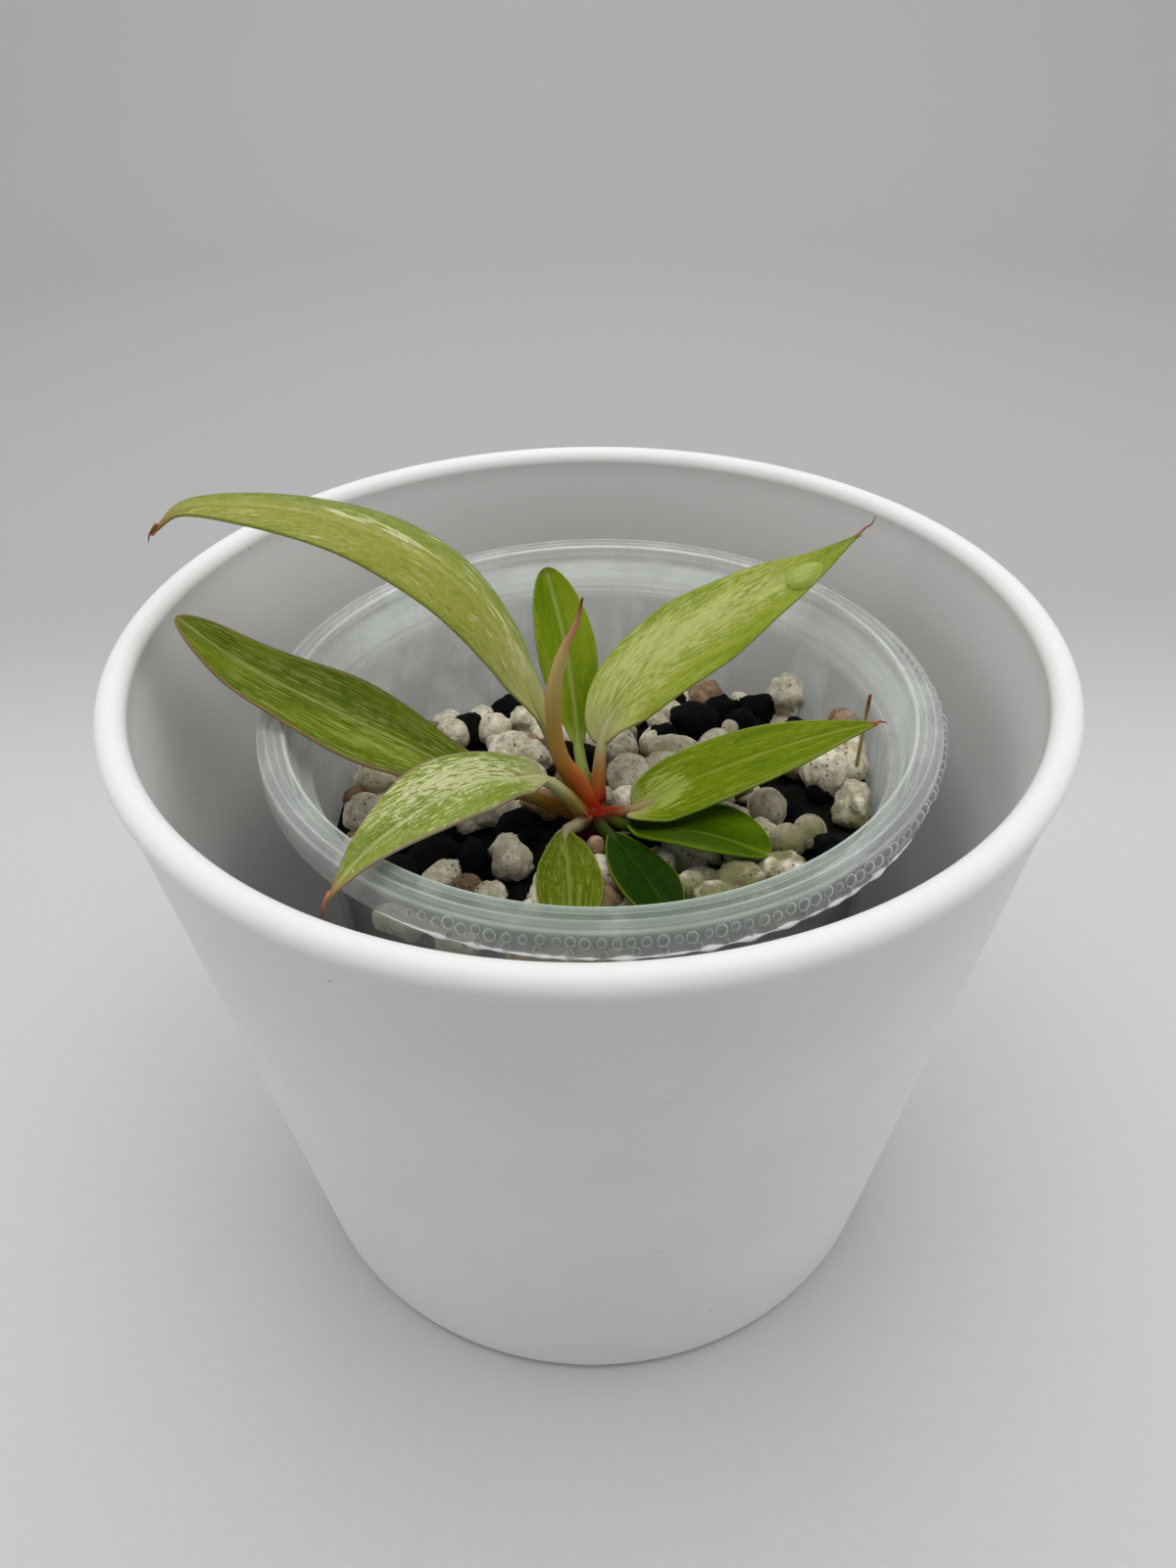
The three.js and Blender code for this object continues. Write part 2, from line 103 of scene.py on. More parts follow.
class Flow:
    """Output socket of a shader node that takes part in arithmetic."""

    def __init__(self, graph: "Graph", socket: bpy.types.NodeSocket) -> None:
        """Hold a socket.

        Args:
            graph: The material it belongs to.
            socket: The output socket.
        """
        self.graph = graph
        self.socket = socket

    @property
    def is_vector(self) -> bool:
        """Whether the socket carries a vector or a colour."""
        return self.socket.type in {"VECTOR", "RGBA"}

    def math(self, operation: str, *others: "Flow | float | Sequence[float]",
             first: bool = True) -> "Flow":
        """Add a Math or Vector Math node.

        Args:
            operation: The node's operation.
            others: The other operands.
            first: Whether this flow is the first operand.

        Returns:
            The node's result.
        """
        operands = [self, *others] if first else [*others, self]
        vector = any(isinstance(o, Flow) and o.is_vector or isinstance(o, tuple) for o in operands)
        kind = "ShaderNodeVectorMath" if vector else "ShaderNodeMath"
        if vector:
            operands = [(o, o, o) if isinstance(o, (int, float)) else o for o in operands]
        return self.graph.add(kind, {"operation": operation}, dict(enumerate(operands)))

    def __add__(self, other: "Flow | float") -> "Flow":
        """Sum."""
        return self.math("ADD", other)

    __radd__ = __add__

    def __sub__(self, other: "Flow | float") -> "Flow":
        """Difference."""
        return self.math("SUBTRACT", other)

    def __rsub__(self, other: "Flow | float") -> "Flow":
        """Difference, the other way round."""
        return self.math("SUBTRACT", other, first=False)

    def __mul__(self, other: "Flow | float") -> "Flow":
        """Product."""
        return self.math("MULTIPLY", other)

    __rmul__ = __mul__

    def __truediv__(self, other: "Flow | float") -> "Flow":
        """Quotient."""
        return self.math("DIVIDE", other)

    def __rtruediv__(self, other: "Flow | float") -> "Flow":
        """Quotient, the other way round."""
        return self.math("DIVIDE", other, first=False)

    def __pow__(self, other: "Flow | float") -> "Flow":
        """Power."""
        return self.math("POWER", other)

    def __abs__(self) -> "Flow":
        """Absolute value."""
        return self.math("ABSOLUTE")

    def length(self) -> "Flow":
        """Length of a vector."""
        return Flow(self.graph, self.math("LENGTH").socket.node.outputs["Value"])

    def rise(self, low: float, high: float) -> "Flow":
        """Soft step from 0 at low to 1 at high, which may lie below low."""
        settings = {"interpolation_type": "SMOOTHSTEP"}
        return self.graph.add("ShaderNodeMapRange", settings, {0: self, 1: low, 2: high, 3: 0.0, 4: 1.0})

    def axis(self, index: int) -> "Flow":
        """One component of a vector."""
        return self.graph.add("ShaderNodeSeparateXYZ", {}, {0: self}, output=index)


class Graph:
    """Node tree of one material, with its one surface shader."""

    def __init__(self, name: str, **uniform: "float | Colour") -> None:
        """Start a material.

        Args:
            name: Name of the material.
            uniform: Values that are the same all over, by the shader's socket name
                with underscores for spaces.
        """
        self.material = bpy.data.materials.new(name)
        self.material.use_nodes = True
        self.tree = self.material.node_tree
        self.surface = next(n for n in self.tree.nodes if n.type == "BSDF_PRINCIPLED")
        self.feed(**uniform)

    def add(self, kind: str, settings: dict, inputs: dict, output: int | str = 0) -> Flow:
        """Add a node.

        Args:
            kind: The node's type.
            settings: Its properties, set before its sockets.
            inputs: Values or flows by socket name or number.
            output: The socket that comes out.

        Returns:
            That socket as a flow.
        """
        node = self.tree.nodes.new(kind)
        for key, value in settings.items():
            setattr(node, key, value)
        for key, value in inputs.items():
            self.plug(node.inputs[key], value)
        return Flow(self, node.outputs[output])

    def plug(self, socket: bpy.types.NodeSocket, value: "Flow | float | Sequence[float]") -> None:
        """Link a flow to an input socket, or set its value.

        Args:
            socket: The input socket.
            value: What goes in.
        """
        if isinstance(value, Flow):
            self.tree.links.new(value.socket, socket)
        elif socket.type == "RGBA" and len(value) == 3:
            socket.default_value = (*value, 1.0)
        else:
            socket.default_value = value

    def feed(self, **values: "Flow | float | Colour") -> None:
        """Link or set the surface shader's sockets, by name with underscores for spaces."""
        for key, value in values.items():
            self.plug(self.surface.inputs[key.replace("_", " ")], value)

    def place(self) -> Flow:
        """Place on the object, in millimetres."""
        return self.add("ShaderNodeTexCoord", {}, {}, "Object") * 1000.0

    def note(self, name: str) -> Flow:
        """Vector attribute of the mesh."""
        return self.add("ShaderNodeAttribute", {"attribute_name": name}, {}, "Vector")

    def join(self, x: "Flow | float", y: "Flow | float", z: "Flow | float" = 0.0) -> Flow:
        """Vector from three numbers."""
        return self.add("ShaderNodeCombineXYZ", {}, {0: x, 1: y, 2: z})

    def cloud(self, where: Flow, scale: float, detail: float = 3.0, rough: float = 0.5) -> Flow:
        """Soft noise from 0 to 1; scale is cells for each unit of where."""
        inputs = {"Vector": where, "Scale": scale, "Detail": detail, "Roughness": rough}
        return self.add("ShaderNodeTexNoise", {}, inputs)

    def cells(self, where: Flow, scale: float) -> Flow:
        """Distance to the nearest of many scattered points."""
        return self.add("ShaderNodeTexVoronoi", {}, {"Vector": where, "Scale": scale}, "Distance")

    def blend(self, factor: "Flow | float", under: "Flow | Colour", over: "Flow | Colour") -> Flow:
        """Lay one colour over another."""
        return self.add("ShaderNodeMix", {"data_type": "RGBA"}, {0: factor, 6: under, 7: over}, 2)

    def relief(self, height: Flow, depth: float, below: Flow | None = None) -> Flow:
        """Bump from a height of 0 to 1.

        Args:
            height: The height.
            depth: How deep it goes, in millimetres.
            below: Another bump that this one lies over.

        Returns:
            The bumped normal.
        """
        inputs: dict = {"Strength": 1.0, "Distance": depth * MM, "Height": height}
        if below is not None:
            inputs["Normal"] = below
        return self.add("ShaderNodeBump", {}, inputs)


# Mesh building


def sheet_of(bm: bmesh.types.BMesh, along: int, across: int,
             put: Callable[[float, float, bmesh.types.BMVert], Vector]) -> list[bmesh.types.BMVert]:
    """Lay a grid and carry each of its points to a place.

    Args:
        bm: The mesh.
        along: Squares along the first direction.
        across: Squares along the second.
        put: Gives the place in millimetres for a point, from 0 to 1 along and -1 to 1 across.

    Returns:
        The grid's points.
    """
    verts = bmesh.ops.create_grid(bm, x_segments=along, y_segments=across, size=1.0)["verts"]
    for vert in verts:
        vert.co = put((vert.co.x + 1) / 2, vert.co.y, vert) * MM
    return verts


def turned(profile: Sequence[tuple[float, float]], steps: int,
           centre: tuple[float, float]) -> bmesh.types.BMesh:
    """Spin a profile about a vertical axis.

    Args:
        profile: Radius and height pairs in millimetres, closed at the axis or on itself.
        steps: Steps round the axis.
        centre: Where the axis stands.

    Returns:
        The new mesh.
    """
    bm = bmesh.new()
    chain = [bm.verts.new(((centre[0] + r) * MM, centre[1] * MM, z * MM)) for r, z in profile]
    edges = [bm.edges.new(pair) for pair in zip(chain, chain[1:])]
    bmesh.ops.spin(bm, geom=chain + edges, cent=(centre[0] * MM, centre[1] * MM, 0), axis=(0, 0, 1),
                   angle=2 * math.pi, steps=steps, use_merge=True)
    bmesh.ops.remove_doubles(bm, verts=bm.verts, dist=1e-6)
    return bm


def arc(cx: float, cz: float, radius: float, start: float, end: float,
        steps: int) -> list[tuple[float, float]]:
    """Points on an arc of a profile, angles in degrees from the outward direction."""
    angles = (math.radians(start + (end - start) * i / steps) for i in range(steps + 1))
    return [(cx + radius * math.cos(a), cz + radius * math.sin(a)) for a in angles]


def finished(name: str, bm: bmesh.types.BMesh, finishes: Sequence[bpy.types.Material],
             slot: str, stands_for: Sequence[str] = (), face_out: bool = True) -> bpy.types.Object:
    """Turn a mesh under construction into a piece that rides on the part.

    Args:
        name: Name of the piece.
        bm: Its mesh, which is used up.
        finishes: Its materials, in slot order.
        slot: The record's material slot; not used.
        stands_for: CAD nodes that it replaces.
        face_out: Whether the faces are turned outwards.

    Returns:
        The piece.
    """
    if face_out:
        bmesh.ops.recalc_face_normals(bm, faces=bm.faces)
    mesh = bpy.data.meshes.new(name)
    bm.to_mesh(mesh)
    bm.free()
    mesh.shade_smooth()
    for finish in finishes:
        mesh.materials.append(finish)
    piece = bpy.data.objects.new(name, mesh)
    bpy.context.scene.collection.objects.link(piece)
    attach(piece, ROOT)
    if stands_for:
        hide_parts(*stands_for)
    log.info("%s: %d faces", name, len(mesh.polygons))
    return piece


class Heap:
    """Many small rounded bodies gathered in one mesh."""

    def __init__(self) -> None:
        """Start empty."""
        self.bm = bmesh.new()
        self.scratch = bpy.data.meshes.new("scratch")

    def add(self, finer: int, put: Callable[[Vector], Vector], notes: Sequence[float] = (0, 0, 0)) -> None:
        """Add a rounded body.

        Args:
            finer: How often its starting shape is split.
            put: Gives the place in millimetres for a point of a ball of radius 1.
            notes: Three values kept on its points.
        """
        small = bmesh.new()
        layer = small.verts.layers.float_vector.new("grain")
        for vert in bmesh.ops.create_icosphere(small, subdivisions=finer, radius=1.0)["verts"]:
            vert.co = put(vert.co.normalized()) * MM
            vert[layer] = notes
        small.to_mesh(self.scratch)
        small.free()
        self.bm.from_mesh(self.scratch)

    def mesh(self) -> bmesh.types.BMesh:
        """The gathered mesh, with the scratch mesh removed."""
        bpy.data.meshes.remove(self.scratch)
        return self.bm


# Pot


@dataclass(frozen=True)
class MattGlaze:
    """White matt glaze with faint scuffs, and painted shade on the inside of the pot."""

    white: Colour = (0.85, 0.845, 0.835)
    inside_shade: Colour = (0.72, 0.72, 0.71)
    scuff: Colour = (0.32, 0.29, 0.25)
    inner_start: float = 60.7
    inner_lean: float = 0.124
    inner_top: tuple[float, float] = (127.5, 126.0)

    def build(self) -> bpy.types.Material:
        """Make the material.

        Returns:
            The material.
        """
        g = Graph("matt white glaze", IOR=1.45, Specular_IOR_Level=0.35)
        place = g.place()
        cloud = g.cloud(place, 0.035, 3)
        fleck = g.cells(place, 0.055).rise(0.035, 0.012) * g.cloud(place, 0.6, 4).rise(0.44, 0.56)
        rubbed = g.cloud(place * (0.25, 0.25, 1.2), 0.5, 4).rise(0.66, 0.8)
        base = g.blend(cloud.rise(0.3, 0.7), self.white, dim(self.white, 0.965))
        out = (place * (1.0, 1.0, 0.0)).length() - place.axis(2) * self.inner_lean - self.inner_start
        # painted shade: the inside wall and floor, below the lip, turn to the darker inside colour
        base = g.blend(out.rise(0.3, -0.9) * place.axis(2).rise(*self.inner_top), base, self.inside_shade)
        base = g.blend(fleck * 0.75, base, self.scuff)
        base = g.blend(rubbed * 0.06, base, self.scuff)
        grain = g.relief(g.cloud(place, 2.2, 4, 0.6), 0.03)
        g.feed(Base_Color=base, Roughness=0.42 + 0.12 * cloud + 0.1 * rubbed, Normal=grain)
        return g.material


@dataclass
class Pot:
    """White tapered pot with a round lip. Sizes in millimetres."""

    lip_radius: float = 80
    height: float = 129
    bead: float = 2.46
    overhang: float = 1.0
    foot_radius: float = 63.4
    foot_fillet: float = 3.9
    wall: float = 4.4
    floor: float = 5
    recess_radius: float = 52
    recess_depth: float = 1.2
    steps: int = 256

    def build(self) -> None:
        """Spin the pot's outline."""
        lip, top = self.lip_radius - self.bead, self.height - self.bead
        outside = self.lip_radius - self.overhang
        neck = top - self.bead
        inside = outside - self.wall
        foot = self.foot_radius - self.wall - self.foot_fillet
        profile = [
            (0, self.recess_depth), (self.recess_radius, self.recess_depth),
            (self.recess_radius + self.recess_depth, 0),
            *arc(self.foot_radius - self.foot_fillet, self.foot_fillet, self.foot_fillet, -90, -6, 10),
            *((self.foot_radius + (outside - self.foot_radius) * t,
               self.foot_fillet + (neck - self.foot_fillet) * t) for t in (0.25, 0.5, 0.75)),
            (outside, neck),
            *arc(lip, top, self.bead, -30, 190, 26),
            (inside, neck - 1),
            *((inside + (self.foot_radius - self.wall - inside) * t,
               neck - 1 + (self.floor + self.foot_fillet - neck + 1) * t) for t in (0.25, 0.5, 0.75)),
            *arc(foot, self.floor + self.foot_fillet, self.foot_fillet, -6, -90, 10),
            (0, self.floor),
        ]
        finished("pot", turned(profile, self.steps, (0, 0)), [MattGlaze().build()], "pot_white",
                 ["outer_pot"])


# Clear tub


@dataclass(frozen=True)
class MilkyPlastic:
    """Thin translucent plastic: see-through from in front, milkier at a slant and on its ridges, whose
    milkiness also paints their highlight lines; the near ledge is tinted with painted shade seen through it.

    A ridge is its radius, half its width and how milky it is, which is also the strength of its highlight.
    """

    body: Colour = (0.74, 0.78, 0.74)
    clear: float = 0.06
    slanted: float = 0.4
    film_and_seen_shade: Colour = tint(160, 184, 166)
    speck: Colour = (0.2, 0.2, 0.19)
    above_mix: tuple[float, float] = (107.0, 109.0)
    seen_shade_front: tuple[float, float] = (-38.0, -56.0)
    seen_shade_edge: tuple[float, float] = (55.5, 53.5)
    skirt_edge: tuple[float, float] = (56.2, 55.8)
    skirt_top: tuple[float, float] = (116.2, 117.2)
    ridges: tuple[tuple[float, float, float], ...] = (
        (51.6, 2.2, 0.1), (50.9, 0.35, 0.15), (52.6, 0.4, 0.2), (53.9, 0.5, 0.5), (55.4, 0.2, 0.2),
        (56.8, 0.3, 0.25), (58.2, 0.35, 0.4))

    def build(self, centre: tuple[float, float]) -> bpy.types.Material:
        """Make the material.

        Args:
            centre: Where the tub's axis stands.

        Returns:
            The material.
        """
        g = Graph("milky clear plastic", IOR=1.5, Specular_IOR_Level=0.6)
        place = g.place()
        radius = ((place - (centre[0], centre[1], 0.0)) * (1.0, 1.0, 0.0)).length()
        tilt = g.add("ShaderNodeLayerWeight", {}, {"Blend": 0.5}, "Facing")
        haze = g.cloud(place * (1.0, 1.0, 0.5), 0.10, 4, 0.6)
        smear = g.cloud(place * (1.0, 1.0, 0.3), 0.09, 3, 0.5)
        fleck = g.cells(place, 0.11).rise(0.045, 0.02)
        rings = g.cloud(g.join(radius * 1.3, place.axis(2) * 0.4), 1.0, 1)
        upper = place.axis(2).rise(*self.above_mix)
        # painted shade: the near ledge is tinted grey-green and made less clear, for the shaded gap seen
        # through it
        film_and_seen_shade = upper * place.axis(1).rise(*self.seen_shade_front) * radius.rise(*self.seen_shade_edge)
        # painted highlight: the ridges' milky bands also stand for the bright lines along the rim
        milky_and_highlight: Flow | float = 0.0
        for at, spread, strength in self.ridges:
            milky_and_highlight = (abs(radius - at) / spread).rise(1.0, 0.2) * strength + milky_and_highlight
        off_skirt = radius.rise(*self.skirt_edge) + place.axis(2).rise(*self.skirt_top)
        milky_and_highlight = milky_and_highlight * off_skirt.math("MINIMUM", 1.0)
        alpha = (self.clear + (self.slanted - self.clear) * tilt ** 2.5 + 0.22 * haze.rise(0.45, 0.7)
                 + upper * (milky_and_highlight * (0.4 + smear) + (rings - 0.5) * 0.04 + 0.08) + fleck * 0.4 + film_and_seen_shade * 0.5)
        base = g.blend(haze.rise(0.35, 0.65), self.body, dim(self.body, 0.9))
        base = g.blend(film_and_seen_shade, base, self.film_and_seen_shade)
        base = g.blend(fleck * 0.6, base, self.speck)
        waves = g.relief(rings, 0.018)
        g.feed(Base_Color=base, Alpha=alpha, Roughness=0.1 + 0.12 * haze, Normal=waves)
        return g.material


@dataclass(frozen=True)
class Water:
    """Clear water, bright round its outline as a painted highlight, with a painted middle for what shows
    through it, dark by default as painted shade.
    """

    body: Colour = (0.97, 0.98, 0.97)
    middle: Colour = (0.30, 0.33, 0.31)
    clear: float = 0.25
    outline: float = 0.95

    def build(self) -> bpy.types.Material:
        """Make the material.

        Returns:
            The material.
        """
        g = Graph("clear water", IOR=1.33, Roughness=0.03, Specular_IOR_Level=0.9)
        tilt = g.add("ShaderNodeLayerWeight", {}, {"Blend": 0.5}, "Facing")
        wobble = g.cloud(g.place(), 0.9, 2)
        # painted highlight round the outline, painted middle colour inside it
        g.feed(Base_Color=g.blend(tilt.rise(0.25, 0.6), self.middle, self.body),
               Normal=g.relief(wobble, 0.02),
               Alpha=self.clear + (self.outline - self.clear) * tilt ** 2.0 + 0.06 * wobble)
        return g.material


@dataclass
class Tub:
    """Clear round tub with a stacking step, a ledge and a skirt. Sizes in millimetres.

    A row of beads is its start, end and pitch in degrees, its height and the beads' radius.
    """

    centre: tuple[float, float] = (1.9, -1.8)
    bottom: float = 5.3
    top: float = 118
    base_radius: float = 46
    base_fillet: float = 1.5
    wall: float = 0.8
    step_inner: float = 50.5
    step_outer: float = 52.5
    step_height: float = 109.3
    lip_inner: float = 53.6
    skirt_radius: float = 58.5
    skirt_bottom: float = 112.3
    shoulder: float = 1.8
    steps: int = 192
    bead_rows: tuple[tuple[float, float, float, float, float], ...] = (
        (-118.0, 16.0, 2.1, 115.4, 0.95), (-112.0, -42.0, 4.2, 113.3, 0.7))
    bead_seed: int = 31
    water_from: int = -124
    water_step: int = 4
    water_points: int = 23

    def inside(self, height: float) -> float:
        """Radius of the wall's inside.

        Args:
            height: Height in millimetres.

        Returns:
            The radius there.
        """
        rise = (height - self.bottom) / (self.step_height - self.bottom)
        start = self.base_radius - self.wall
        return start + (self.step_inner - start) * rise

    def build(self) -> None:
        """Make the tub and the water on its skirt, whose bright outlines and edge line are painted
        highlights.
        """
        w, bottom, fillet = self.wall, self.bottom, self.base_fillet
        edge = self.skirt_radius - self.shoulder
        profile = [
            (0, bottom), (self.base_radius - fillet, bottom),
            *arc(self.base_radius - fillet, bottom + fillet, fillet, -80, -4, 6),
            (self.step_inner + w, self.step_height - w),
            (self.step_outer + w, self.step_height - w / 2),
            (self.lip_inner + w, self.top - self.shoulder - w),
            (self.skirt_radius - w, self.top - self.shoulder - 1.6 * w),
            (self.skirt_radius - w, self.skirt_bottom), (self.skirt_radius, self.skirt_bottom),
            *arc(edge, self.top - self.shoulder, self.shoulder, 0, 90, 8),
            (self.lip_inner + w / 2, self.top), (self.lip_inner, self.top - w / 2),
            (self.step_outer, self.step_height + w / 2), (self.step_inner, self.step_height),
            (self.base_radius - w, bottom + fillet + w), (self.base_radius - fillet - w, bottom + w),
            (0, bottom + w),
        ]
        finished("clear_tub", turned(profile, self.steps, self.centre),
                 [MilkyPlastic().build(self.centre)], "clear_plastic", ["inner_cup"])
        self.beads()
        self.water_line_highlight()

    def on_skirt(self, angle: float, out: float, height: float) -> Point:
        """Place on the skirt.

        Args:
            angle: Angle about the tub's axis, in radians.
            out: How far it stands out of the skirt.
            height: Its height.

        Returns:
            The place.
        """
        reach = self.skirt_radius + out
        return self.centre[0] + reach * math.cos(angle), self.centre[1] + reach * math.sin(angle), height

    def beads(self) -> None:
        """Hang water beads on the skirt, in a close row and a loose one."""
        draw = Draw(self.bead_seed)
        heap = Heap()
        for start, end, pitch, height, size in self.bead_rows:
            angle = start
            while angle < end:
                way = math.radians(angle)
                swell = size * (0.75 + 0.5 * draw())
                middle = Vector(self.on_skirt(way, 0.05, height + 0.7 * (draw() - 0.5)))
                turn = Matrix.Rotation(way, 3, "Z")
                heap.add(3, lambda v, t=turn, c=middle, r=swell:
                         c + t @ Vector((v.x * r * 0.6, v.y * r * 0.8, v.z * r)))
                angle += pitch * (0.85 + 0.3 * draw())
        # The beads' bright outlines and dark middles are painted highlight and painted shade.
        finished("rim_beads", heap.mesh(), [Water().build()], "clear_plastic", face_out=False)

    def water_line_highlight(self) -> None:
        """Run a broken line of water along the skirt's bottom edge, painted white as its highlight."""
        angles = [math.radians(self.water_from + self.water_step * i) for i in range(self.water_points)]
        line = [self.on_skirt(angle, 0.1, self.skirt_bottom + 0.2) for angle in angles]

        def thick(t: float) -> float:
            """Radius of the line, which breaks up and dies away at both ends."""
            broken = 0.6 * max(0.0, 0.25 + noise.noise(Vector((t * 30, 0, 3))))
            return 0.08 + broken * smooth(t / 0.1) * smooth((1 - t) / 0.1)

        bm = bmesh.new()
        rod(bm, Midrib(line), thick, faces=((0, 0, 1), (0, 0, 1)), along=260, sides=8)
        # painted highlight: the water line is white and almost opaque
        bright = Water((1.0, 1.0, 1.0), (1.0, 1.0, 1.0), 0.75, 1.0)
        finished("rim_water_highlight", bm, [bright.build()], "clear_plastic")


# Growing mix


class Grit(Enum):
    """Kinds of grain in the mix."""

    PALE = "pale_grains"
    DARK = "dark_grains"
    TAN = "tan_grains"


@dataclass(frozen=True)
class Stone:
    """Finish of one kind of grain."""

    name: str
    light: Colour
    shade: Colour
    pit: Colour
    pits: float
    algae: float = 0.0
    roughness: float = 0.9
    film_and_seen_shade: Colour = tint(92, 94, 34)
    film_from: tuple[float, float] = (30, 42)

    def build(self) -> bpy.types.Material:
        """Make the material.

        Returns:
            The material.
        """
        g = Graph(self.name, Specular_IOR_Level=0.15)
        place = g.place()
        grain = g.note("grain")
        mottle = g.cloud(place, 0.5, 5, 0.65)
        base = g.blend(mottle.rise(0.35, 0.65), self.shade, self.light)
        base = g.blend(grain.axis(0).rise(0.5, 1.0) * 0.4, base, self.shade)
        dots = g.cells(place, 0.85).rise(0.22, 0.1)
        pits = dots * g.cloud(place, 0.55, 2).rise(0.5 - self.pits * 0.2, 0.62)
        base = g.blend(pits * self.pits, base, self.pit)
        if self.algae:
            near = (place.axis(0) * 0.5 - place.axis(1)).rise(*self.film_from)
            wet = near * g.cloud(place, 0.22, 3).rise(0.3, 0.5)
            base = g.blend(wet * self.algae, base, self.film_and_seen_shade)
        crumbs = g.relief(g.cloud(place, 1.5, 6, 0.6), 0.35)
        g.feed(Base_Color=base, Roughness=self.roughness - 0.12 * mottle,
               Normal=g.relief(1.0 - pits, 0.4, crumbs))
        return g.material


@dataclass
class Mix:
    """Bed of grains. Sizes in millimetres.

    A dark place is x, y and its reach; those by the stem put dark grains where shade falls, as painted
    shade. A large grain is x, y, how far its top stands over the bed's, half its length, width and height,
    its kind and how lumpy it is.
    """

    tub: Tub
    low_points: list[Point]
    centre_top: float = 97
    slope_x: float = 0.07
    slope_y: float = -0.1
    bulge_x: float = 0.0008
    dip_y: float = -0.0025
    below_tops: float = 4
    grains: int = 90
    berth: float = 1.6
    smallest: float = 3.7
    largest: float = 5.6
    seed: int = 20
    small: int = 190
    lining: int = 150
    lining_from: float = 60
    lining_reach: float = 36
    stem: tuple[float, float] = (0.4, -9.2)
    stem_berth: float = 3.2
    bed_brim: float = 90
    # the places by the stem stand for the shade there: painted shade with dark grains
    dark_and_shaded_places: tuple[tuple[float, float, float], ...] = (
        (-30, -17, 9), (-19, -15, 7), (-34, -24, 7), (-22, -24, 4), (24, 20, 9), (31, 25, 4), (27, 15, 4),
        (35, -26, 7), (43, -20, 7), (40, -6, 4), (37, -14, 5), (-22, 22, 2.5), (-38, -11, 3), (6, -19, 5),
        (0, -17, 4), (10, -9, 3))
    large: tuple[tuple[float, float, float, Point, Grit, float], ...] = (
        (-13.7, -22.2, 2.2, (3.2, 2.9, 4.4), Grit.PALE, 0.45),
        (41.0, 28.0, 3.0, (4.2, 3.6, 4.2), Grit.PALE, 0.45),
        (49.5, 15.0, 0.6, (3.4, 3.0, 2.8), Grit.TAN, 0.25),
        (25.5, 33.0, 1.6, (5.0, 3.6, 3.4), Grit.TAN, 0.5),
        (33.4, -21.6, 0.2, (3.2, 3.1, 3.2), Grit.PALE, 0.12),
        (37.4, -19.8, 0.5, (3.0, 2.9, 3.0), Grit.PALE, 0.12),
        (31.6, -10.0, 0.0, (3.6, 3.4, 3.6), Grit.PALE, 0.2),
        (43.6, -0.5, 1.0, (4.8, 4.4, 4.2), Grit.PALE, 0.45),
        (46.2, -12.5, 0.4, (4.6, 3.2, 3.4), Grit.PALE, 0.5),
        (48.2, 5.4, 0.6, (3.6, 3.0, 3.4), Grit.PALE, 0.45),
        (7.4, 4.4, 1.0, (4.6, 4.0, 4.0), Grit.PALE, 0.16),
        (17.0, 11.6, 0.4, (5.4, 3.0, 3.0), Grit.PALE, 0.25),
        (27.9, 16.6, 0.4, (1.8, 1.6, 1.8), Grit.PALE, 0.2),
        (6.8, -4.0, -0.6, (3.0, 2.6, 2.8), Grit.PALE, 0.3),
        (17.0, -30.0, -1.4, (3.2, 3.0, 3.2), Grit.PALE, 0.2),
        (24.6, -31.6, -0.2, (4.4, 3.8, 3.6), Grit.PALE, 0.3),
        (19.8, -34.2, -0.8, (3.2, 3.0, 3.0), Grit.PALE, 0.25),
        (31.6, -29.4, -0.4, (4.4, 3.4, 3.0), Grit.PALE, 0.3),
        (-25.4, -26.4, 0.0, (4.8, 2.6, 2.6), Grit.PALE, 0.5),
        (-16.6, -30.6, 0.0, (2.6, 2.4, 2.6), Grit.PALE, 0.4),
        (-20.4, -28.6, 0.6, (2.2, 2.0, 2.8), Grit.TAN, 0.4),
        (-27.8, 24.4, 1.2, (3.4, 3.2, 3.2), Grit.PALE, 0.2),
        (-19.6, 27.0, 1.0, (3.8, 3.4, 3.6), Grit.PALE, 0.2),
        (-15.6, 17.0, 1.0, (5.0, 4.2, 4.0), Grit.PALE, 0.3),
        (-34.0, 26.0, 0.4, (3.6, 3.0, 3.0), Grit.TAN, 0.3),
        (-41.0, -4.6, 0.4, (4.4, 3.8, 3.6), Grit.PALE, 0.3),
        (-40.6, -17.0, -0.4, (4.2, 3.8, 3.4), Grit.PALE, 0.3),
        (1.0, -18.6, -0.6, (1.8, 1.7, 1.7), Grit.TAN, 0.1))
    heaps: dict[Grit, Heap] = field(default_factory=lambda: {kind: Heap() for kind in Grit})

    def top(self, x: float, y: float) -> float:
        """Height of the grains' tops."""
        return (self.centre_top + self.slope_x * x + self.slope_y * y + self.bulge_x * x * x
                + self.dip_y * max(y, 0) ** 2)

    @property
    def brim(self) -> float:
        """Reach of the grains' middles from the tub's axis."""
        return self.tub.inside(self.centre_top) - 2

    def spot(self, reach: float, angle: float) -> tuple[float, float]:
        """Place at a distance and an angle from the tub's axis."""
        return self.tub.centre[0] + reach * math.cos(angle), self.tub.centre[1] + reach * math.sin(angle)

    def room(self, x: float, y: float, size: float) -> float:
        """Height that a grain may reach under the leaves and stalks.

        Args:
            x: Its place.
            y: Its place.
            size: Half its greatest width.

        Returns:
            The height.
        """
        reach = size + self.berth
        return min((p[2] for p in self.low_points if math.hypot(p[0] - x, p[1] - y) < reach),
                   default=math.inf) - self.berth / 2

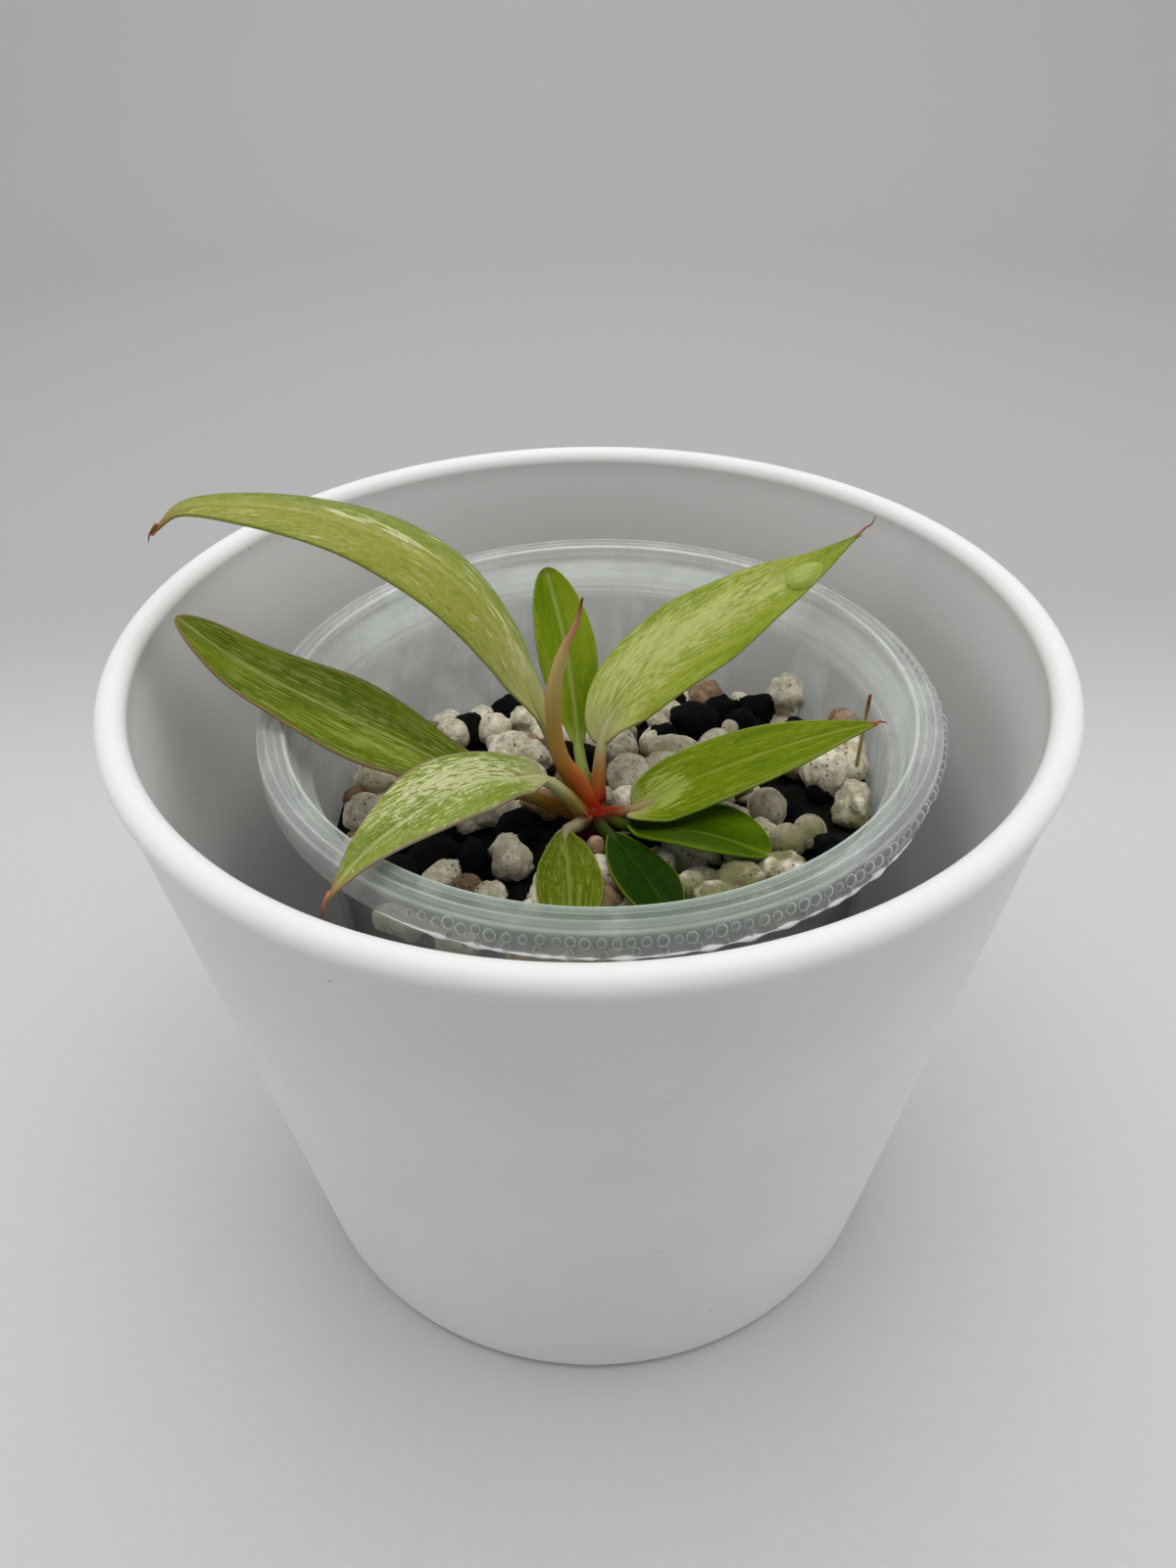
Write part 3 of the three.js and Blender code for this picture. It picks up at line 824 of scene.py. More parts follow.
    def free(self, x: float, y: float, size: float) -> bool:
        """Whether a grain has room between the stem and the chosen grains.

        Args:
            x: Its place.
            y: Its place.
            size: Half its greatest width.

        Returns:
            True where it has.
        """
        if math.hypot(x - self.stem[0], y - self.stem[1]) <= self.stem_berth + size * 0.5:
            return False
        return all(math.hypot(x - cx, y - cy) > 0.62 * (size + max(span[:2]))
                   for cx, cy, _, span, _, _ in self.large)

    def kind(self, x: float, y: float, draw: float) -> Grit:
        """Kind of grain at a place.

        Args:
            x: The place.
            y: The place.
            draw: A number from the seeded draw.

        Returns:
            The kind.
        """
        # dark grains in the dark places; by the stem they are painted shade
        for cx, cy, reach in self.dark_and_shaded_places:
            if math.hypot(x - cx, y - cy) < reach:
                return Grit.DARK if draw < 0.85 else Grit.PALE
        return Grit.DARK if draw < 0.08 else Grit.TAN if draw > 0.9 else Grit.PALE

    def pebble(self, kind: Grit, centre: Vector, size: Sequence[float], draw: Draw, finer: int,
               lumps: float) -> None:
        """Add one lumpy grain.

        Args:
            kind: What it is.
            centre: Its middle in millimetres.
            size: Half its length, width and height.
            draw: The seeded draw.
            finer: How often its starting shape is split.
            lumps: How lumpy it is.
        """
        turn = Matrix.Rotation(draw() * 2 * math.pi, 3, "Z") @ Matrix.Rotation((draw() - 0.5) * 0.9, 3, "X")
        offset = Vector((draw(), draw(), draw())) * 50

        def put(way: Vector) -> Vector:
            """Carry a point of a ball to the grain.

            Args:
                way: The point, 1 from the middle.

            Returns:
                Its place in millimetres.
            """
            swell = (1 + 0.8 * lumps * noise.noise(way * 0.9 + offset)
                     + 0.6 * lumps * abs(noise.noise(way * 1.9 + offset)))
            if finer > 2:
                swell += 0.08 * lumps * noise.noise(way * 5.5 + offset)
            return centre + turn @ Vector([w * s * swell for w, s in zip(way, size)])

        self.heaps[kind].add(finer, put, (draw(), draw(), draw()))

    def lay_chosen(self, draw: Draw) -> None:
        """Lay the large grains that stand out."""
        for x, y, lift, size, kind, lumps in self.large:
            self.pebble(kind, Vector((x, y, self.top(x, y) + lift - size[2])), size, draw, 4, lumps)

    def lay_grains(self, draw: Draw, fine: Draw) -> None:
        """Lay the top grains where the solids have theirs.

        Args:
            draw: The draw that laid the solids' grains.
            fine: The draw for their finer form.
        """
        cx, cy = self.tub.centre
        for i in range(self.grains):
            radius = self.smallest + (self.largest - self.smallest) * draw() ** 1.3
            reach = self.brim * math.sqrt((i + 0.5) / self.grains)
            x, y = self.spot(reach, i * GOLDEN_TURN + (draw() - 0.5) * 0.25)
            lift = (draw() - 0.4) * 2.2
            size = [radius * (least + more * draw()) * 0.8
                    for least, more in ((0.9, 0.4), (0.85, 0.3), (0.8, 0.3))]
            draw(), draw()  # the solids' grain takes two more, for its turn
            height = min(self.top(x, y) + lift, self.room(x, y, max(size))) - size[2] * 0.95
            outer = self.tub.inside(height) - 0.6 - max(size[:2])
            away = math.hypot(x - cx, y - cy)
            if away > outer:
                x, y = cx + (x - cx) * outer / away, cy + (y - cy) * outer / away
            if self.free(x, y, max(size)):
                kind = self.kind(x, y, fine())
                self.pebble(kind, Vector((x, y, height)), size, fine, 4 if kind is Grit.PALE else 3,
                            0.75 if kind is Grit.DARK else 0.42)

    def lay_small(self, fine: Draw) -> None:
        """Lay small grains between the top ones.

        Args:
            fine: The seeded draw.
        """
        for i in range(self.small):
            reach = self.brim * math.sqrt((i + 0.5) / self.small)
            x, y = self.spot(reach, i * GOLDEN_TURN + 1.3 + (fine() - 0.5) * 0.6)
            size = [(1.7 + 1.9 * fine() ** 1.5) * s for s in (1.15, 1.0, 0.9)]
            height = min(self.top(x, y) + (fine() - 1.25) * 4.0, self.room(x, y, max(size))) - size[2]
            if self.free(x, y, max(size)):
                self.pebble(self.kind(x, y, fine()), Vector((x, y, height)), size, fine, 3, 0.4)

    def lay_lining(self, fine: Draw) -> None:
        """Lay grains against the clear wall.

        Args:
            fine: The seeded draw.
        """
        for i in range(self.lining):
            height = self.lining_from + self.lining_reach * fine()
            size = [(2.2 + 1.8 * fine()) * s for s in (0.9, 1.1, 0.95)]
            x, y = self.spot(self.tub.inside(height) - 0.5 - max(size), i * GOLDEN_TURN)
            middle = Vector((x, y, min(height, self.top(x, y) - self.below_tops)))
            self.pebble(self.kind(x, y, fine()), middle, size, fine, 2, 0.4)

    def build(self) -> None:
        """Make the grains of each kind and the bed under them, whose dark colour is painted shade."""
        draw, fine = Draw(self.seed), Draw(self.seed + 1)
        self.lay_chosen(fine)
        self.lay_grains(draw, fine)
        self.lay_small(fine)
        self.lay_lining(fine)
        finishes = {
            Grit.PALE: Stone("pale pumice", tint(240, 233, 214), tint(192, 181, 154), tint(60, 48, 34), 0.9,
                             0.85),
            Grit.DARK: Stone("dark grit", tint(9, 14, 14), tint(1, 3, 3), tint(0, 0, 0), 0.4, 0.0, 1.0),
            Grit.TAN: Stone("tan grit", tint(172, 142, 112), tint(120, 96, 74), tint(60, 44, 32), 0.6, 0.3),
        }
        for kind, heap in self.heaps.items():
            finished(kind.value, heap.mesh(), [finishes[kind].build()], "pumice_mix", ["growing_mix"],
                     face_out=False)
        self.bed()

    def bed(self) -> None:
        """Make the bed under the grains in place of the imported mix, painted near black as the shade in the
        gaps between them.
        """
        low = self.tub.bottom + self.tub.wall + 0.3
        brim = self.tub.inside(self.centre_top - self.below_tops) - 0.6
        floor = self.tub.inside(low) - self.tub.base_fillet - 0.6
        bm = turned([(0, low), (floor, low), (floor + 1.5, low + 1.5), (brim, self.bed_brim),
                     *((brim * (1 - i / 16), self.bed_brim) for i in range(1, 17))], 96, self.tub.centre)
        for vert in bm.verts:
            if vert.co.z > (self.bed_brim - 1) * MM:
                x, y = vert.co.x / MM, vert.co.y / MM
                crumbs = 1.5 * noise.noise(Vector((x, y, 0)) / 4)
                vert.co.z = (self.top(x, y) - self.below_tops - 2.2 + crumbs) * MM
        # painted shade: the bed is near black for the shade in the gaps between grains
        packed = Stone("packed grit", tint(22, 20, 17), tint(7, 6, 5), tint(0, 0, 0), 0.5)
        finished("bed_in_painted_shade", bm, [packed.build()], "pumice_mix", ["growing_mix"])


# Leaves


class Midrib:
    """Smooth curve through a leaf's midrib, measured along its length. Millimetres."""

    def __init__(self, points: Sequence[Point]) -> None:
        """Fit the curve.

        Args:
            points: Points that it passes through.
        """
        knots = [Vector(p) for p in points]
        self.knots = [2 * knots[0] - knots[1], *knots, 2 * knots[-1] - knots[-2]]
        count = 40 * (len(knots) - 1)
        self.samples = [self.by_knot(i / count) for i in range(count + 1)]
        self.sums = [0.0]
        for a, b in zip(self.samples, self.samples[1:]):
            self.sums.append(self.sums[-1] + (b - a).length)
        self.length = self.sums[-1]

    def by_knot(self, t: float) -> Vector:
        """Place on the curve with its points evenly spaced.

        Args:
            t: From 0 to 1.

        Returns:
            The place.
        """
        spans = len(self.knots) - 3
        i = min(int(t * spans), spans - 1)
        w = t * spans - i
        a, b, c, d = self.knots[i:i + 4]
        return 0.5 * (2 * b + (c - a) * w + (2 * a - 5 * b + 4 * c - d) * w ** 2
                      + (3 * b - a - 3 * c + d) * w ** 3)

    def at(self, u: float) -> Vector:
        """Place at a part of the length.

        Args:
            u: The part, from 0 to 1.

        Returns:
            The place.
        """
        goal = min(max(u, 0.0), 1.0) * self.length
        low, high = 0, len(self.sums) - 1
        while high - low > 1:
            mid = (low + high) // 2
            low, high = (mid, high) if self.sums[mid] <= goal else (low, mid)
        part = (goal - self.sums[low]) / max(self.sums[high] - self.sums[low], 1e-9)
        return self.samples[low].lerp(self.samples[high], part)

    def frame(self, u: float, faces: Sequence[Point]) -> tuple[Vector, Vector]:
        """Directions to the side and out of the upper face.

        Args:
            u: Part of the length.
            faces: Where the upper face looks, evenly spaced along the curve.

        Returns:
            The two directions.
        """
        along = (self.at(u + 0.01) - self.at(u - 0.01)).normalized()
        spans = len(faces) - 1
        i = min(int(u * spans), spans - 1)
        face = Vector(faces[i]).lerp(Vector(faces[i + 1]), u * spans - i)
        side = along.cross(face).normalized()
        return side, side.cross(along)


@dataclass(frozen=True)
class Wash:
    """Soft oval patch on a blade; with no colour it adds or takes away cream."""

    at: tuple[float, float]
    size: tuple[float, float]
    strength: float
    colour: Colour | None = None


@dataclass(frozen=True)
class BladeSkin:
    """Finish of a leaf blade with its variegation, veins, margin, tip and base."""

    name: str
    green: Colour
    deep: Colour
    cream: Colour = tint(196, 198, 148)
    creamy: float = -0.9
    fleck: tuple[float, float] = (0.3, 1.0)
    crisp: float = 0.3
    spray: float = 0.3
    veins: float = 0.4
    vein: Colour = tint(170, 178, 100)
    vein_count: float = 11
    rib: Colour = tint(150, 165, 80)
    rib_strength: float = 0.5
    rib_width: float = 0.5
    margin: Colour = tint(150, 165, 70)
    margin_strength: float = 0.5
    margin_width: float = 0.3
    tip: Colour = tint(150, 110, 80)
    tip_from: float = 0.95
    base: Colour = tint(185, 185, 120)
    base_to: float = 0.1
    roughness: float = 0.4
    sheen: float = 0.04
    washes: tuple[Wash, ...] = ()
    seed: float = 0.0

    def build(self) -> bpy.types.Material:
        """Make the material.

        Returns:
            The material.
        """
        g = Graph(self.name, Specular_IOR_Level=self.sheen, IOR=1.42)
        blade, vein = g.note("blade"), g.note("vein")
        b, v, under = (blade.axis(i) for i in range(3))
        p, s, width = (vein.axis(i) for i in range(3))
        sway = g.cloud(g.join(p * 0.12, s * 0.3, self.seed + 7), 1.0, 2) * 0.8
        fleck = g.join(p * self.fleck[0] + sway, s * self.fleck[1] + sway, self.seed)
        fine = g.cloud(fleck, 1.0, 7, 0.66)
        broad = g.cloud(g.join(p * 0.05, s * 0.16, self.seed + 9), 1.0, 3)
        net = g.cloud(fleck * 1.9 + 5.0, 1.0, 4, 0.6)
        thread = g.cloud(g.join(b * 2.6, v * self.vein_count, self.seed + 5), 1.0, 2)
        gaps = g.cloud(g.join(b * 22.0, v * 5.0, self.seed + 2), 1.0, 3)

        ground = g.blend((broad + (net - 0.5) * 0.8).rise(0.35, 0.65), self.deep, self.green)
        level: Flow | float = self.creamy
        for wash in self.washes:
            off = g.join((b - wash.at[0]) / wash.size[0], (v - wash.at[1]) / wash.size[1])
            soft = off.length().rise(1.15, 0.25)
            if wash.colour is None:
                level = soft * wash.strength + level
            else:
                ground = g.blend(soft * wash.strength, ground, wash.colour)
        level = (fine - 0.5) * 6.0 + (broad - 0.5) * 2.0 + level
        base = g.blend(level.rise(-self.crisp, self.crisp), ground, self.cream)
        specks = abs(net - 0.5).rise(0.045, 0.005) * self.spray * (level * 0.35 + 1.0).rise(0.0, 0.8)
        base = g.blend(specks, base, self.cream)
        lines = abs(thread - 0.5).rise(0.05, 0.01) * gaps.rise(0.36, 0.52) * self.veins
        base = g.blend(lines, base, self.vein)
        base = g.blend(abs(s).rise(self.rib_width, self.rib_width * 0.35) * self.rib_strength, base, self.rib)
        rim = (1.0 - abs(v)) * width
        edge = rim.rise(self.margin_width, self.margin_width * 0.4) * self.margin_strength
        base = g.blend(edge, base, self.margin)
        base = g.blend((b + (fine - 0.5) * 0.08).rise(self.tip_from, 1.0), base, self.tip)
        base = g.blend((b + (fine - 0.5) * 0.1).rise(self.base_to, 0.0), base, self.base)
        base = g.blend(under * 0.35, base, self.rib)
        veins = g.relief(thread, 0.18)
        g.feed(Base_Color=base, Roughness=self.roughness + 0.12 * fine + 0.1 * under,
               Normal=g.relief(fine, 0.10, veins))
        return g.material


@dataclass
class Leaf:
    """One leaf: a petiole that opens into a folded, waved blade. Millimetres."""

    node: str
    midrib: Sequence[Point]
    face: Sequence[Point]
    petiole: float
    half_width: float
    widest: float
    base_full: float
    tip_full: float
    fold: tuple[float, float]
    curl: tuple[float, float]
    side: tuple[float, float]
    wave: float
    waves: int
    skin: BladeSkin
    stalk: tuple[Colour, Colour] = (tint(150, 90, 40), tint(150, 155, 80))
    slot: str = "leaf_variegated"
    thickness: float = 0.5
    along: int = 84
    across: int = 26
    curve: Midrib = field(init=False)

    def __post_init__(self) -> None:
        """Fit the midrib's curve."""
        self.curve = Midrib(self.midrib)

    def width(self, b: float) -> float:
        """Half width of the blade.

        Args:
            b: Part of the blade's length.

        Returns:
            The half width there.
        """
        power = math.log(0.5) / math.log(self.widest)
        swell = math.sin(math.pi * min(max(b, 0.0), 1.0) ** power)
        full = self.base_full if b < self.widest else self.tip_full
        return max(self.half_width * max(swell, 0) ** full, 0.3)

    def point(self, b: float, v: float) -> Vector:
        """Place on the middle surface of the blade.

        Args:
            b: Part of the blade's length.
            v: Place across, from -1 to 1.

        Returns:
            The place.
        """
        u = self.petiole + (1 - self.petiole) * b
        side, up = self.curve.frame(u, self.face)
        half = 1 if v > 0 else 0
        a = abs(v)
        fold = math.radians(self.fold[half])
        ripple = self.wave * math.sin(2 * math.pi * self.waves * b + 2.1 * half)
        x = math.copysign(a * math.cos(fold) * self.side[half], v)
        z = a * math.sin(fold) * self.side[half] + (self.curl[half] + ripple) * a * a
        width = self.width(b)
        opened = smooth(b / 0.14)
        cup = (1 - opened) * 0.5 * a * a * width
        groove = -0.28 * math.exp(-(a * width / 0.55) ** 2) * smooth(b / 0.1) * smooth((1 - b) / 0.2)
        spread = side * (x * width * (0.75 + 0.25 * opened))
        return self.curve.at(u) + spread + up * (z * width + cup + groove)

    def low_points(self) -> Iterable[Point]:
        """Points of the underside that grains stay clear of.

        Returns:
            Places in millimetres, one after the other.
        """
        for i in range(17):
            for v in (-1, -0.5, 0, 0.5, 1):
                p = self.point(i / 16, v)
                yield p.x, p.y, p.z - 0.4
        for i in range(7):
            p = self.curve.at(self.petiole * i / 6)
            yield p.x, p.y, p.z - 1.2

    def build(self) -> None:
        """Lay the blade's grid, turn it face up and give it its thickness."""
        bm = bmesh.new()
        blade = bm.verts.layers.float_vector.new("blade")
        vein = bm.verts.layers.float_vector.new("vein")

        def put(t: float, v: float, vert: bmesh.types.BMVert) -> Vector:
            """Carry a grid point to the blade and note where on the blade it is.

            Args:
                t: How far along it is, from 0 to 1.
                v: How far across, from -1 to 1.
                vert: The point.

            Returns:
                Its place in millimetres.
            """
            b = t - 0.09 * math.sin(2 * math.pi * t)
            v = math.copysign(abs(v) ** 1.15, v)
            width = self.width(b)
            across = v * width
            vert[blade] = (b, v, 0)
            vert[vein] = (b * self.curve.length * (1 - self.petiole) - 3.2 * abs(across), across, width)
            return self.point(b, v)

        sheet_of(bm, self.along, self.across, put)
        bm.normal_update()
        upper = set(bm.verts)
        middle = self.point(0.5, 0.1)
        face = min(bm.faces, key=lambda f: (f.calc_center_median() / MM - middle).length)
        _, up = self.curve.frame(self.petiole + (1 - self.petiole) * 0.5, self.face)
        if face.normal.dot(up) < 0:
            bmesh.ops.reverse_faces(bm, faces=bm.faces)
            bm.normal_update()
        bmesh.ops.solidify(bm, geom=bm.faces, thickness=self.thickness * MM)
        for vert in bm.verts:
            if vert not in upper:
                b, v, _ = vert[blade]
                vert[blade] = (b, v, 1)
        finished(self.node, bm, [self.skin.build()], self.slot, [self.node])


@dataclass(frozen=True)
class StalkSkin:
    """Finish of a petiole, sheath or rolled leaf: a change of colour along it."""

    name: str
    stops: tuple[tuple[float, Colour], ...]
    roughness: float = 0.4
    streaks: float = 0.25

    def build(self) -> bpy.types.Material:
        """Make the material.

        Returns:
            The material.
        """
        g = Graph(self.name, Specular_IOR_Level=0.12)
        way = g.note("way")
        t, turn = way.axis(0), way.axis(1)
        fine = g.cloud(g.join(t * 3.0, turn * 6.0, 2.0), 1.0, 4, 0.6)
        t = t + (fine - 0.5) * 0.1
        base: Flow | Colour = self.stops[0][1]
        for (low, _), (high, colour) in zip(self.stops, self.stops[1:]):
            base = g.blend(t.rise(low, high), base, colour)
        base = g.blend((fine - 0.5).rise(0.0, 0.25) * self.streaks, base, dim(self.stops[-1][1], 1.5))
        g.feed(Base_Color=base, Roughness=self.roughness + 0.15 * fine, Normal=g.relief(fine, 0.15))
        return g.material


def rod(bm: bmesh.types.BMesh, curve: Midrib, radius: Callable[[float], float],
        reach: tuple[float, float] = (0, 1), flatten: float = 1.0,
        drop: Callable[[float], float] = lambda t: 0.0,
        faces: Sequence[Point] = ((0, -1, 0.3), (0, -1, 0.3)), along: int = 36, sides: int = 20,
        finish: int = 0) -> None:
    """Add a closed round rod along a curve.

    Args:
        bm: The mesh.
        curve: The curve.
        radius: Radius by part of the rod's length.
        reach: The part of the curve that it covers.
        flatten: Depth beside width.
        drop: How far it lies under the curve, by part of the rod's length.
        faces: Where its upper side looks.
        along: Rings.
        sides: Sides.
        finish: Slot of its material.
    """
    way = bm.verts.layers.float_vector.get("way") or bm.verts.layers.float_vector.new("way")

    def put(t: float, v: float, vert: bmesh.types.BMVert) -> Vector:
        """Carry a grid point to the rod and note how far along it is.

        Args:
            t: How far along it is, from 0 to 1.
            v: Part of half a turn round the rod, from -1 to 1.
            vert: The point.

        Returns:
            Its place in millimetres.
        """
        u = reach[0] + (reach[1] - reach[0]) * t
        side, up = curve.frame(u, faces)
        angle = math.pi * v
        size = radius(t)
        vert[way] = (t, abs(v), 0)
        lift = size * flatten * math.sin(angle) - drop(t)
        return curve.at(u) + side * size * math.cos(angle) + up * lift

    before = len(bm.faces)
    verts = sheet_of(bm, along, sides, put)
    bm.faces.ensure_lookup_table()
    for face in bm.faces[before:]:
        face.material_index = finish
    bmesh.ops.remove_doubles(bm, verts=verts, dist=1e-6)
    ends = bmesh.ops.holes_fill(bm, edges=[e for e in bm.edges if e.is_boundary], sides=0)
    for face in ends["faces"]:
        face.material_index = finish


# Light, floor and camera


@dataclass
class Studio:
    """Pale floor, soft light from above, behind and both sides, and the photograph's camera.

    Sizes in metres, but the lens and the fade of the floor's painted shade in millimetres; angles in
    radians. A lamp is its name, its place, the length of its side, its power and the point it faces.
    """

    eye: Point = (-0.00024, -0.17227, 0.23113)
    pitch: float = 0.6667
    roll: float = -0.0137
    lens: float = 27.0
    grey: Colour = (0.61, 0.615, 0.615)
    far_painted_shade: Colour = (0.44, 0.445, 0.445)
    painted_shade_fades: tuple[float, float] = (90, 250)
    flat_to: float = 0.8
    bend: float = 0.4
    rim: float = 0.8
    lamps: tuple[tuple[str, Point, float, float, Point], ...] = (
        ("overhead", (0.0, -0.1, 1.1), 0.9, 8.0, (0, 0, 0)),
        ("backdrop", (0.0, 0.75, 0.9), 0.8, 4.0, (0, 0.95, 0)),
        ("left", (-0.8, -0.05, 0.5), 0.9, 1.95, (0, 0, 0.05)),
        ("right", (0.8, -0.05, 0.5), 0.9, 2.25, (0, 0, 0.05)),
        ("left wall", (-0.8, -0.05, 0.5), 0.9, 1.3, (-1.6, -0.1, 0.95)),
        ("right wall", (0.8, -0.05, 0.5), 0.9, 1.3, (1.6, -0.1, 0.95)))
    fill_light: Colour = (0.97, 0.98, 1.0)
    fill_strength: float = 0.03

    def camera(self) -> None:
        """Set the camera up."""
        data = bpy.data.cameras.new("camera")
        data.lens, data.sensor_width, data.clip_start = self.lens, 36.0, 0.01
        look = Vector((0, math.cos(self.pitch), -math.sin(self.pitch)))
        right, up = Vector((1, 0, 0)), Vector((0, math.sin(self.pitch), math.cos(self.pitch)))
        c, s = math.cos(self.roll), math.sin(self.roll)
        turn = Matrix((right * c + up * s, up * c - right * s, -look)).transposed()
        camera = bpy.data.objects.new("camera", data)
        camera.matrix_world = Matrix.Translation(self.eye) @ turn.to_4x4()
        bpy.context.scene.collection.objects.link(camera)
        bpy.context.scene.camera = camera

    def floor(self) -> None:
        """Lay the floor, which turns up all round into a backdrop."""
        reach, bend = self.flat_to / MM, self.bend / MM
        bm = turned([(0, 0), *((reach * (i / 8) ** 1.5, 0) for i in range(1, 9)),
                     *arc(reach, bend, bend, -86, 0, 16), (reach + bend, self.rim / MM)], 96, (0, 0))
        bmesh.ops.recalc_face_normals(bm, faces=bm.faces)
        bmesh.ops.reverse_faces(bm, faces=bm.faces)
        mesh = bpy.data.meshes.new("floor")
        bm.to_mesh(mesh)
        bm.free()
        mesh.shade_smooth()
        g = Graph("pale card", Roughness=0.85, Specular_IOR_Level=0.15)
        place = g.place()
        speck = g.cloud(place, 0.4, 3)
        base = g.blend(speck.rise(0.3, 0.7), self.grey, dim(self.grey, 0.985))
        # painted shade: the floor darkens to the far grey towards the back
        g.feed(Base_Color=g.blend(place.axis(1).rise(*self.painted_shade_fades), base, self.far_painted_shade))
        mesh.materials.append(g.material)
        floor = bpy.data.objects.new("floor", mesh)
        bpy.context.scene.collection.objects.link(floor)

    def lamp(self, name: str, at: Point, size: float, power: float, aim: Point) -> None:
        """Hang a square soft light.

        Args:
            name: Its name.
            at: Where it hangs, in metres.
            size: Length of its side.
            power: Watts.
            aim: The point it faces.
        """
        data = bpy.data.lights.new(name, "AREA")
        data.size, data.energy = size, power
        lamp = bpy.data.objects.new(name, data)
        lamp.location = at
        lamp.rotation_mode = "QUATERNION"
        lamp.rotation_quaternion = (Vector(aim) - Vector(at)).to_track_quat("-Z", "Y")
        bpy.context.scene.collection.objects.link(lamp)

    def build(self) -> None:
        """Set the studio up."""
        self.camera()
        self.floor()
        for lamp in self.lamps:
            self.lamp(*lamp)
        world = bpy.data.worlds.new("studio")
        world.use_nodes = True
        background = world.node_tree.nodes["Background"]
        background.inputs["Color"].default_value = (*self.fill_light, 1.0)
        background.inputs["Strength"].default_value = self.fill_strength
        bpy.context.scene.world = world
        bpy.context.scene.view_settings.view_transform = "Standard"


# The plant


